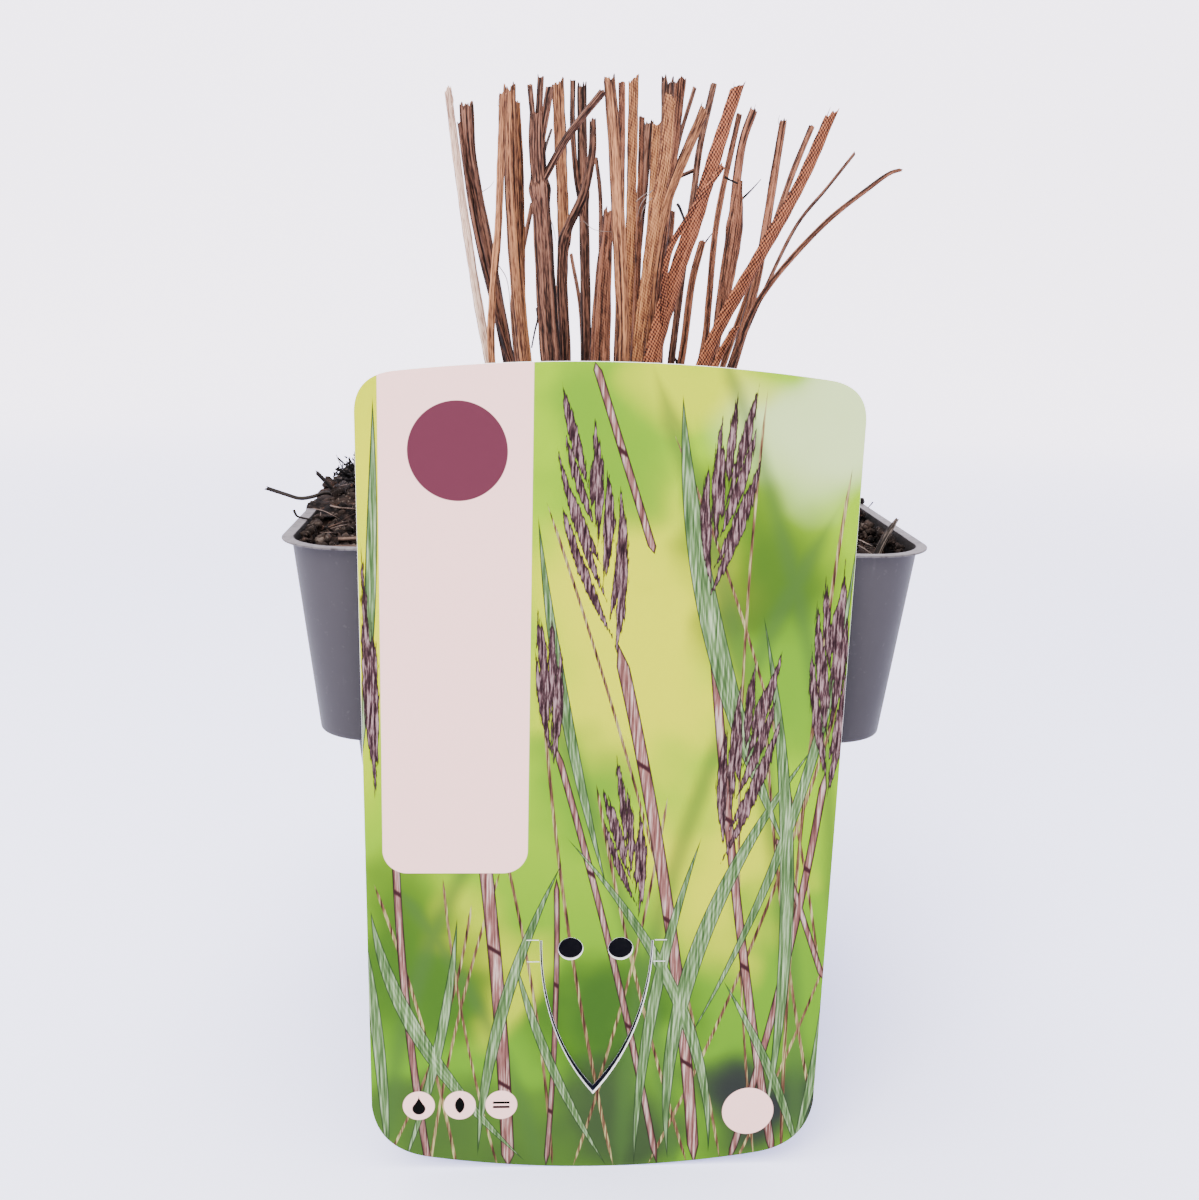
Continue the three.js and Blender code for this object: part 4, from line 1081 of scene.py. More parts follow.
# Finishes of the soil and its crumbs by kind; the dark one is the soil's own
PEATS = {
    "crumbs_dark": Earth("peat"),
    "crumbs_brown": Earth("peat_brown", (0.0095, 0.0068, 0.006), (0.030, 0.0208, 0.0175),
                          (0.042, 0.027, 0.021)),
    "crumbs_pale": Earth("peat_pale", (0.026, 0.0195, 0.017), (0.080, 0.060, 0.050)),
}

# Finishes of the loose fibres by kind
FIBRES = {
    "pale_roots": Fibre("root_pale", (0.13, 0.090, 0.074), (0.038, 0.025, 0.020)),
    "brown_roots": Fibre("root_brown", (0.040, 0.024, 0.0175), (0.0095, 0.0066, 0.0056)),
    "straw_bits": Fibre("straw_bits", (0.090, 0.054, 0.038), (0.022, 0.0128, 0.0098)),
    "hairs_dark": Fibre("hair_dark", (0.016, 0.013, 0.0125), (0.0045, 0.0038, 0.004)),
    "hairs_grey": Fibre("hair_grey", (0.21, 0.16, 0.14), (0.11, 0.085, 0.075)),
    "hairs_pale": Fibre("hair_pale", (0.16, 0.112, 0.095), (0.046, 0.032, 0.027)),
    "hairs_rust": Fibre("hair_rust", (0.070, 0.039, 0.029), (0.020, 0.0118, 0.0095)),
    "tuft": Fibre("tuft_black", (0.0105, 0.0090, 0.0094), (0.0024, 0.0021, 0.0023)),
}


@dataclass
class Line:
    """A smooth line sampled at even steps: places, directions, share of the route, and length."""

    centre: Array
    ahead: Array
    share: Array
    length: float


def smooth_line(route: Route, step: float) -> Line:
    """Centripetal spline through the points of a route.

    On each stretch a cubic runs from one point to the next, with slopes set by the
    square roots of the distances between the points, and the ends are extended straight.

    Args:
        route: the points to pass.
        step: distance between the samples that are returned.

    Returns:
        The sampled line.
    """
    knots = np.array(route, float)
    knots = np.vstack([2 * knots[0] - knots[1], knots, 2 * knots[-1] - knots[-2]])
    fine, shares = [], []
    count = len(route) - 1
    t = np.linspace(0, 1, 24, endpoint=False)[:, None]
    for k in range(count):
        p0, p1, p2, p3 = knots[k:k + 4]
        d0, d1, d2 = (np.linalg.norm(b - a) ** 0.5 for a, b in ((p0, p1), (p1, p2), (p2, p3)))
        m1 = ((p1 - p0) / d0 - (p2 - p0) / (d0 + d1) + (p2 - p1) / d1) * d1
        m2 = ((p2 - p1) / d1 - (p3 - p1) / (d1 + d2) + (p3 - p2) / d2) * d1
        c2, c3 = -3 * p1 + 3 * p2 - 2 * m1 - m2, 2 * p1 - 2 * p2 + m1 + m2
        fine.append(p1 + t * m1 + t**2 * c2 + t**3 * c3)
        shares.append((k + t[:, 0]) / count)
    fine = np.vstack([*fine, knots[-2]])
    shares = np.append(np.concatenate(shares), 1.0)
    run = np.concatenate([[0], np.cumsum(np.linalg.norm(np.diff(fine, axis=0), axis=1))])
    even = np.linspace(0, run[-1], max(6, int(run[-1] / step)))
    centre = np.stack([np.interp(even, run, fine[:, k]) for k in range(3)], 1)
    ahead = np.gradient(centre, axis=0)
    ahead /= np.linalg.norm(ahead, axis=1, keepdims=True)
    return Line(centre, ahead, np.interp(even, run, shares), float(run[-1]))


@dataclass
class GrassMaker:
    """Makes the fine surface of strips of dry grass.

    Rib is the width of a blade's ribs, and curl its arch as a share of its width. Hollow
    gives the rings that close a round stem's torn end: how far each one shrinks, and how
    deep it sinks as a share of the width. At a joint a stem swells and thins above it.
    """

    step: float = 0.55
    culm_sides: int = 40
    strand_sides: int = 16
    blade_half_sides: int = 26
    blade_thickness: float = 0.46
    rib: float = 0.34
    curl: float = 0.16
    tear_length: float = 4.5
    hollow: tuple[Pair, ...] = ((0.74, 0.08), (0.55, 0.55), (0.2, 0.7))
    joint_reach: float = 1.3
    joint_swell: float = 0.24
    joint_waist: float = 0.10

    def section(self, strip: Strip, run: Array, width: Array, rng: np.random.Generator) -> tuple:
        """Section of a strip at every step of its length.

        A round section is a circle whose radius carries waves round it, drifting along
        the strip, and one overlapping seam. A blade is an arched band whose thickness
        falls off at its edges as a root of one minus a high power, with fine ribs.

        Returns:
            Across and through, as rows along by columns round, and the relief, lowered towards the sides as
            painted shade.
        """
        s = run[:, None]
        half = width[:, None] / 2
        if strip.form is Form.BLADE:
            count = self.blade_half_sides
            front = -np.cos(np.pi * (np.arange(count) + 0.5) / count)
            a = np.concatenate([front, front[::-1]])[None, :]
            side = np.repeat([-1.0, 1.0], count)[None, :]
            ribs = np.maximum(4, np.round(width.max() / self.rib))
            phase = rng.uniform(0, 2 * np.pi)
            wobble = 0.35 * np.sin(s * 0.09 + phase)
            relief = 0.75 * np.cos(np.pi * ribs * a + phase + wobble)
            relief = relief + 0.35 * np.cos(np.pi * 1.7 * a + s * 0.12)
            # Painted shade: the blade's edges are painted darker
            edge_shade = 1.6 * np.abs(a) ** 14
            thick = self.blade_thickness / 2 * np.sqrt(1 - np.clip(np.abs(a), 0, 1) ** 8)
            edge = 1 + 0.04 * np.sin(s * 0.55 + phase) + 0.03 * np.sin(s * 1.7 + 2 * phase)
            curl = self.curl * width[:, None] * (1 + 0.5 * np.sin(s * 0.11 + phase))
            through = side * thick * (1 + 0.22 * relief) + curl * (a * a - 0.5)
            return a * half * edge + 0 * through, through, relief - edge_shade + 0 * s
        sides = self.strand_sides if strip.form is Form.STRAND else self.culm_sides
        turn = 2 * np.pi * np.arange(sides)[None, :] / sides
        phases = rng.uniform(0, 2 * np.pi, 4)
        counts, depth = FURROWS[strip.form.value]
        drift = 0.012 * s
        relief = (0.6 * np.cos(counts[0] * turn + phases[0] + drift * 3)
                  + 0.35 * np.cos(counts[1] * turn + phases[1] - drift * 4)
                  + 0.3 * np.cos(counts[2] * turn + phases[2] + 0.35 * np.sin(s * 0.13 + phases[3])))
        seam = ((turn - phases[3]) % (2 * np.pi)) / (2 * np.pi)
        squash = 1 + 0.07 * np.cos(2 * turn + phases[1] + drift)
        ring = half * (1 + depth * relief + 0.07 * seam) * squash * (1 + 0.025 * np.sin(s * 0.8 + phases[2]))
        # Painted shade: the sides, as seen from the front, are painted darker
        edge_shade = 1.5 * np.abs(np.cos(turn)) ** 14
        return ring * np.cos(turn), ring * np.sin(turn), relief + 0.25 * seam - edge_shade

    def tear(self, strip: Strip, x: Array, y: Array, rng: np.random.Generator) -> Array:
        """How far each line of the surface runs past the end: a slant plus sharp teeth."""
        around = np.stack([x, y, np.full_like(x, rng.uniform(0, 90))], 1)
        teeth = np.abs(lattice_noise(around, 0.42, 5)) ** 0.7 - 0.5 + 0.5 * lattice_noise(around, 0.2, 9)
        size = strip.jag if strip.jag > 0 else (0.55 if strip.form is Form.BLADE else 0.35)
        return strip.cut * x + size * teeth * 1.3

    def patch(self, strip: Strip, route: Route, rng: np.random.Generator) -> Patch:
        """The closed surface of one strip."""
        line = smooth_line(route, self.step)
        run = np.linspace(0, line.length, len(line.centre))
        facing = math.radians(strip.face)
        front = np.array([0, 0, 1.0]) if strip.lying else np.array([math.sin(facing), -math.cos(facing), 0])
        side = np.cross(line.ahead, front)
        side /= np.linalg.norm(side, axis=1, keepdims=True)
        behind = np.cross(line.ahead, side)
        width = strip.width[0] + (strip.width[1] - strip.width[0]) * line.share
        width = width + strip.swell * np.sin(np.pi * line.share) ** 1.5
        if strip.joint is not None:
            near = (line.centre[:, 2] - strip.joint) / self.joint_reach
            swell = self.joint_swell * np.exp(-near**2) - self.joint_waist * np.exp(-(near - 1.6) ** 2)
            width = width * (1 + swell)
        across, through, relief = self.section(strip, run, width, rng)
        ending = smoothstep(run, line.length - self.tear_length, line.length)[:, None]
        shift = self.tear(strip, across[-1], through[-1], rng)[None, :] * ending
        rows = [line.centre[:, None, :] + across[..., None] * side[:, None, :]
                + through[..., None] * behind[:, None, :] + shift[..., None] * line.ahead[:, None, :]]
        reliefs, grains = [relief], [np.stack([across, through, run[:, None] + shift], -1)]
        if strip.form is not Form.BLADE:
            for shrink, sink in self.hollow:
                sunk = shift[-1] - sink * width[-1]
                inner = (line.centre[-1] + shrink * across[-1][:, None] * side[-1]
                         + shrink * through[-1][:, None] * behind[-1] + sunk[:, None] * line.ahead[-1])
                rows.append(inner[None])
                # Painted shade: the deeper a ring sinks into the hollow end, the darker it is painted
                reliefs.append(np.full((1, across.shape[1]), 0.9 - sink * 2))
                place = np.stack([shrink * across[-1], shrink * through[-1], run[-1] + sunk], -1)
                grains.append(place[None])
        points = np.concatenate(rows)
        return tube_patch(points, np.concatenate(grains), np.concatenate(reliefs), rng.uniform(-1, 1))

    def fray(self, strip: Strip, route: Route, rng: np.random.Generator, count: int) -> list[Patch]:
        """Fine fibres that stand out of the torn end of a strip."""
        line = smooth_line(route, 1.0)
        tip, ahead = line.centre[-1], line.ahead[-1]
        patches = []
        for _ in range(count):
            away = rng.normal(0, 1, 3)
            away -= away @ ahead * ahead
            away /= np.linalg.norm(away)
            start = tip - ahead * rng.uniform(0.8, 2.5) + away * strip.width[1] * rng.uniform(0.1, 0.42)
            reach = rng.uniform(0.9, 1.9)
            end = start + ahead * reach + away * reach * rng.uniform(0.05, 0.35)
            middle = (start + end) / 2 + away * rng.uniform(-0.2, 0.3)
            width = (rng.uniform(0.1, 0.22), 0.05)
            patches.append(hair_patch((start, middle, end), width, rows=6, sides=5, tone=rng.uniform(-1, 1)))
        return patches


def hair_patch(route: Route, width: Pair, rows: int, sides: int, tone: float) -> Patch:
    """A thin tube along a route that tapers from one width to the other."""
    line = smooth_line(route, 0.2)
    keep = np.linspace(0, len(line.centre) - 1, rows).astype(int)
    centre, ahead, share = line.centre[keep], line.ahead[keep], np.linspace(0, 1, rows)
    lean = np.array([0.3, -0.5, 0.81])
    side = np.cross(ahead, lean)
    side /= np.linalg.norm(side, axis=1, keepdims=True) + 1e-9
    behind = np.cross(ahead, side)
    sides += sides % 2
    radius = (width[0] + (width[1] - width[0]) * share)[:, None] / 2
    x, y = (radius * part for part in circle(sides).T)
    points = centre[:, None, :] + x[..., None] * side[:, None, :] + y[..., None] * behind[:, None, :]
    along = np.broadcast_to((share * line.length)[:, None], x.shape)
    return tube_patch(points, np.stack([x, y, along], -1), np.zeros_like(x), tone)


@dataclass
class Clump:
    """The cut stems, each with what is torn off it and the fibres at its end."""

    looks: dict[Tint, Look]
    maker: GrassMaker = field(default_factory=GrassMaker)

    def route(self, stem: Stem) -> Route:
        """From the root's end, straight up out of the soil, and on along the stem."""
        x, y = stem.foot
        return ((x, y, CROWN_LEVEL - ROOT_DEPTH), (x, y, CROWN_LEVEL + 1), *stem.main.route)

    def build(self) -> None:
        """One piece for each stem."""
        for number, stem in enumerate(STEMS):
            rng = np.random.default_rng(STEM_SEED + number)
            route = self.route(stem)
            patches = [self.maker.patch(stem.main, route, rng)]
            if stem.main.form is not Form.STRAND:
                patches += self.maker.fray(stem.main, route, rng, count=2)
            for strip in stem.torn:
                patches.append(self.maker.patch(strip, strip.route, rng))
            for patch in patches:
                patch.tone = patch.tone + stem.cast
            mesh = mesh_of_patches(f"dry_{stem.name}", patches)
            finish_piece(mesh, (self.looks[stem.tint],), (stem.name,), crease=50)


def clod_list(count: int = 90, seed: int = 7) -> Array:
    """Places, heights and spreads of the clods, drawn by a plain congruential rule."""
    state, draws = seed, []
    for _ in range(4 * count):
        state = (state * DRAW_FACTOR + DRAW_SHIFT) % DRAW_RANGE
        draws.append(state / DRAW_RANGE)
    x, y, rise, spread = np.array(draws).reshape(count, 4).T
    return np.stack([(x - 0.5) * 2 * RIM_HALF, (y - 0.5) * 2 * RIM_HALF, 0.3 + rise, 1.6 + 2.2 * spread])


@dataclass(frozen=True)
class Heap:
    """A few more crumbs round a place: their spread, rise, smallest size and number.

    Long is how many times their spread along a side is their spread across it.
    """

    place: Point
    spread: float
    rise: float
    least: float
    count: int
    long: float = 1.6


# Loose crumbs by kind: the seed, how much larger than the least the largest is, and the heaps
CRUMBS = {
    "crumbs_dark": (5, 0.85, (
        Heap((-44, 4, 92.5), 0.6, 0.4, 0.3, 60), Heap((44.65, -0.6, 91.8), 0.15, 0.3, 0.5, 4),
        Heap((42.0, -10.5, 88.8), 0.4, 2.9, 0.7, 24), Heap((40.6, -22, 87.6), 1.0, 1.4, 0.4, 40))),
    "crumbs_brown": (6, 0.6, (
        Heap((41.2, -16.5, 87.6), 1.0, 3.4, 0.3, 110), Heap((-42.15, -28, 90.1), 0.25, 1.5, 0.25, 150, 16),
        Heap((42.2, -27, 90.0), 0.25, 1.3, 0.25, 110, 16), Heap((-40.8, -11.6, 92.5), 0.45, 1.6, 0.3, 50),
        Heap((-40.6, -34, 89.4), 1.0, 1.0, 0.3, 24))),
    "crumbs_pale": (8, 0.38, (
        Heap((41.0, -15.5, 88.4), 0.9, 2.8, 0.3, 26), Heap((-40.3, -31, 90.1), 0.6, 0.6, 0.6, 9))),
}


@dataclass
class Soil:
    """The soil: its surface, its spill over the rim, loose crumbs and fibres.

    Loose things lie within reach of the middle. Past core on both axes they keep to an
    arc of the radius corner, inside the pot's rounded corner. The crown and the heap are
    hills: the middle across and in depth, the height and the spread. The dip at the
    right deepens across its span, and the clods fade out across calm.
    """

    cells: int = 290
    crumb_count: int = 900
    fibre_count: int = 260
    fibre_steps: int = 7
    reach: float = 41.0
    core: float = 34.5
    corner: float = 6.4
    dents: float = 0.28
    crown: tuple[float, ...] = (1, -1, 3.6, 17)
    heap: tuple[float, ...] = (-39.5, -5, 4.5, 7.0)
    dip: float = 1.6
    dip_span: Pair = (22, 42)
    calm: Pair = (38, 42.5)
    clods: Array = field(default_factory=clod_list)

    def rise(self, x: Array, y: Array) -> Array:
        """Height over the soil's edge: crown, heap at the left, dip at the right, clods.

        Each hill is a bell curve, and the clods fade out towards the wall.
        """
        def hill(cx: float, cy: float, height: float, spread: float) -> Array:
            """A round hill that falls off as a bell curve."""
            return height * np.exp(-((x - cx) ** 2 + (y - cy) ** 2) / (2 * spread**2))

        calm = 1 - smoothstep(np.maximum(np.abs(x), np.abs(y)), *self.calm)
        rough = sum(hill(*clod) for clod in self.clods.T)
        heap = hill(*self.heap) * (0.75 + 0.25 * calm)
        return hill(*self.crown) + heap - self.dip * smoothstep(x, *self.dip_span) + rough * calm

    def fine(self, x: Array, y: Array) -> Array:
        """Lumps and grains on top of the large forms."""
        flat = np.stack([x, y, np.zeros_like(x)], 1)
        lumps = 0.75 * fractal_noise(flat, 3.1, 21, 4)
        grains = 0.95 * pebbles(x, y, 1.9, 31) + 0.55 * pebbles(x, y, 0.95, 47)
        return lumps + grains - 0.75

    def height(self, x: Array, y: Array) -> Array:
        """Height of the finished surface."""
        return SOIL_LEVEL + self.rise(x, y) + self.fine(x, y)

    def square(self, u: Array, v: Array, half: float, corner: float) -> tuple[Array, Array]:
        """Carries a plain square onto one with rounded corners.

        Along the ray through a point, the rounded outline lies nearer than the plain
        one by a factor. The point is drawn in by the part of it that grows with the
        sixth power of the point's own share of the way out.
        """
        reach = np.maximum(np.maximum(np.abs(u), np.abs(v)), 1e-9)
        dx, dy = np.abs(u / reach) * half, np.abs(v / reach) * half
        core = half - corner
        both = (dx > core) & (dy > core)
        dot, size = (dx + dy) * core, dx * dx + dy * dy
        root = np.sqrt(np.clip(dot**2 - size * (2 * core * core - corner**2), 0, None))
        factor = np.where(both, np.minimum((dot + root) / size, 1), 1)
        scale = half * (1 + (factor - 1) * reach**6)
        return u * scale, v * scale

    def body(self, look: Look) -> None:
        """The soil's closed body: a fine top on plain sides that follow the pot."""
        n = self.cells
        even = np.linspace(-1, 1, n)
        v, u = (grid.ravel() for grid in np.meshgrid(even, even, indexing="ij"))
        share = (SOIL_LEVEL - COLLAR_FOOT) / (RIM_HEIGHT - LIP_DEPTH - COLLAR_FOOT)
        half = COLLAR_FOOT_HALF + (RIM_HALF - LIP - COLLAR_FOOT_HALF) * share - WALL + 0.1
        x, y = self.square(u, v, half, 7.75)
        top = np.stack([x, y, self.height(x, y)], 1)
        faces, rim = sheet_quads(n, n)
        outline = top[rim]
        levels = (
            (COLLAR_FOOT + 2, COLLAR_FOOT_HALF - WALL - 0.6), (SHOULDER + 1.2, BODY_TOP_HALF - WALL - GAP),
            (FLOOR + 1.5, BASE_HALF - WALL - GAP), (FLOOR + GAP, BASE_HALF - WALL - 1.5),
        )
        rings = [
            np.column_stack([outline[:, :2] * (size / half), np.full(len(rim), z)]) for z, size in levels
        ]
        points = np.concatenate([top, *rings])
        count = len(rim)
        walls, upper = [], rim
        for ring in range(len(levels)):
            lower = n * n + ring * count + np.arange(count)
            walls.append(np.stack([np.roll(upper, -1), upper, lower, np.roll(lower, -1)], 1))
            upper = lower
        mesh = mesh_from("peat_soil", points, np.concatenate([faces, *walls]), (upper[::-1],))
        finish_piece(mesh, (look,), ("soil",), crease=80)

    def inside(self, rng: np.random.Generator, count: int, reach: float) -> tuple[Array, Array]:
        """Random places on the soil, half of them strewn towards its left and right sides."""
        x, y = rng.uniform(-reach, reach, (2, count))
        side = np.sign(x) * (reach - rng.uniform(0, 1, count) ** 1.6 * 9.0)
        return self.held(np.where(rng.uniform(0, 1, count) < 0.5, side, x), y)

    def held(self, x: Array, y: Array) -> tuple[Array, Array]:
        """Draws places near a corner in to an arc, so that they stay within the wall."""
        dx, dy = np.clip(np.abs(x) - self.core, 0, None), np.clip(np.abs(y) - self.core, 0, None)
        over = 1 - np.minimum(1, self.corner / np.maximum(np.hypot(dx, dy), 0.1))
        return x - np.sign(x) * dx * over, y - np.sign(y) * dy * over

    def spill(self, look: Look) -> None:
        """Soil that lies over the rim beside the heap.

        A thin cover along the left side, out to the lip's edge, with a mound on it whose
        height falls off as a bell curve; where it ends it sinks into the lip.
        """
        rows, columns = 150, 30
        front, back, lip, flank = (-17, -12.5), (31, 35), (-45.4, -44.9), (-44.6, -41)
        height, middle, spread = 1.5, 2, 13.0
        lengthways, crossways = np.linspace(-19, 36, rows), np.linspace(-45.3, -40.4, columns)
        y, x = (grid.ravel() for grid in np.meshgrid(lengthways, crossways, indexing="ij"))
        flat = np.stack([x, y, np.zeros_like(x)], 1)
        ends = smoothstep(y + 2.5 * lattice_noise(flat, 2.3, 71), *front) * (1 - smoothstep(y, *back))
        edge = smoothstep(x + 0.25 * lattice_noise(flat, 1.1, 73), *lip)
        mound = height * np.exp(-((y - middle) / spread) ** 2) * smoothstep(x, *flank)
        z = RIM_HEIGHT - 0.4 + ends * edge * (0.75 + mound + 0.35 * (self.fine(x, y) + 0.2))
        top = np.stack([x, y, z], 1)
        under = np.stack([np.clip(x, flank[0], None), y, np.full_like(x, RIM_HEIGHT - 0.55)], 1)
        count = rows * columns
        faces, rim = sheet_quads(rows, columns)
        sides = np.stack([np.roll(rim, -1), rim, rim + count, np.roll(rim, -1) + count], 1)
        quads = np.concatenate([faces, faces[:, ::-1] + count, sides])
        mesh = mesh_from("peat_spill", np.concatenate([top, under]), quads)
        finish_piece(mesh, (look,), crease=80)

    def crumbs(self, name: str, look: Look, seed: int, large: float, heaps: tuple[Heap, ...]) -> None:
        """Loose crumbs: small round bodies of 20 faces, each squashed, turned and dented."""
        rng = np.random.default_rng(seed)
        ball, faces = unit_ball(finer=False)
        x, y = self.inside(rng, self.crumb_count, self.reach)
        z, least = self.height(x, y), np.full_like(x, 0.2)
        for heap in heaps:
            cx, cy, cz = heap.place
            x = np.append(x, cx + heap.spread * np.clip(rng.normal(0, 1, heap.count), -2, 1.4))
            y = np.append(y, cy + heap.spread * heap.long * np.clip(rng.normal(0, 1, heap.count), -1.7, 1.7))
            z = np.append(z, cz + heap.rise * rng.uniform(0, 1, heap.count))
            least = np.append(least, np.full(heap.count, heap.least))
        count = len(x)
        size = least + large * rng.uniform(0, 1, count) ** 3.0
        spin = rng.normal(0, 1, (count, 3, 3))
        turn = np.linalg.qr(spin)[0]
        turn *= np.sign(np.linalg.det(turn))[:, None, None]
        squash = rng.uniform(0.55, 1.15, (count, 1, 3))
        places = np.tile(ball, (count, 1)) * 1.3 + np.repeat(np.arange(count), len(ball))[:, None] * 3.7
        dents = 1 + self.dents * lattice_noise(places, 0.8, 3).reshape(count, len(ball), 1)
        shape = np.einsum("nij,nkj->nki", turn, ball[None] * squash * dents) * size[:, None, None]
        centre = np.stack([x, y, z + 0.25 * size], 1)
        points = (shape + centre[:, None, :]).reshape(-1, 3)
        all_faces = (faces[None] + (np.arange(count) * len(ball))[:, None, None]).reshape(-1, 3)
        finish_piece(mesh_from(name, points, all_faces), (look,))

    def wander(self, rng: np.random.Generator, length: float, lift: float) -> Array:
        """A winding route on the soil's surface, its heading a sum of small random turns."""
        steps = self.fibre_steps
        x, y = (float(value[0]) for value in self.inside(rng, 1, self.reach - 3))
        heading = rng.uniform(0, 2 * np.pi) + np.cumsum(rng.normal(0, 0.32, steps))
        px = np.clip(x + np.cumsum(np.cos(heading)) * length / steps, -self.reach, self.reach)
        py = np.clip(y + np.cumsum(np.sin(heading)) * length / steps, -self.reach, self.reach)
        px, py = self.held(px, py)
        arc = lift * np.sin(np.linspace(0, np.pi, steps)) * rng.uniform(0, 1)
        return np.stack([px, py, self.height(px, py) + 0.12 + arc], 1)

    def fibres(self, looks: dict[str, Look]) -> None:
        """Fine roots and bits of straw that lie about on the soil."""
        kinds = {
            "pale_roots": (0.45, (0.08, 0.17), (4.0, 12.0), 0.9),
            "brown_roots": (0.35, (0.12, 0.30), (4.0, 12.0), 1.2),
            "straw_bits": (0.20, (0.25, 0.6), (1.5, 4.5), 0.3),
        }
        for number, (name, (share, width, length, lift)) in enumerate(kinds.items()):
            rng = np.random.default_rng(FIBRE_SEED + number)
            patches = []
            for _ in range(int(share * self.fibre_count)):
                route = self.wander(rng, rng.uniform(*length), lift)
                thick = rng.uniform(*width)
                tone = rng.uniform(-1, 1)
                patches.append(hair_patch(route, (thick, thick * 0.5), rows=18, sides=4, tone=tone))
            finish_piece(mesh_of_patches(name, patches), (looks[name],))


def unit_ball(finer: bool = True) -> tuple[Array, Array]:
    """Points and faces of a ball: an icosahedron, its faces each cut into four if finer."""
    golden = (1 + math.sqrt(5)) / 2
    corners = [(0, s, t * golden) for s in (-1, 1) for t in (-1, 1)]
    points = np.array([np.roll(c, k) for k in range(3) for c in corners], float)
    points /= np.linalg.norm(points[0])
    gaps = np.linalg.norm(points[:, None] - points[None], axis=2)
    near = gaps < gaps[gaps > 0.1].min() * 1.1
    trios = combinations(range(len(points)), 3)
    faces = [trio for trio in trios if all(near[pair] for pair in combinations(trio, 2))]
    middles: dict[tuple[int, int], int] = {}
    grown = [tuple(p) for p in points]

    def middle(a: int, b: int) -> int:
        """Number of the point half way between two, made once."""
        key = (min(a, b), max(a, b))
        if key not in middles:
            between = (points[a] + points[b]) / 2
            middles[key] = len(grown)
            grown.append(tuple(between / np.linalg.norm(between)))
        return middles[key]

    cut = []
    for a, b, c in faces:
        if np.dot(np.cross(points[b] - points[a], points[c] - points[a]), points[a]) < 0:
            b, c = c, b
        if not finer:
            cut.append((a, b, c))
            continue
        ab, bc, ca = middle(a, b), middle(b, c), middle(c, a)
        cut += [(a, ab, ca), (ab, b, bc), (ca, bc, c), (ab, bc, ca)]
    return np.array(grown), np.array(cut)


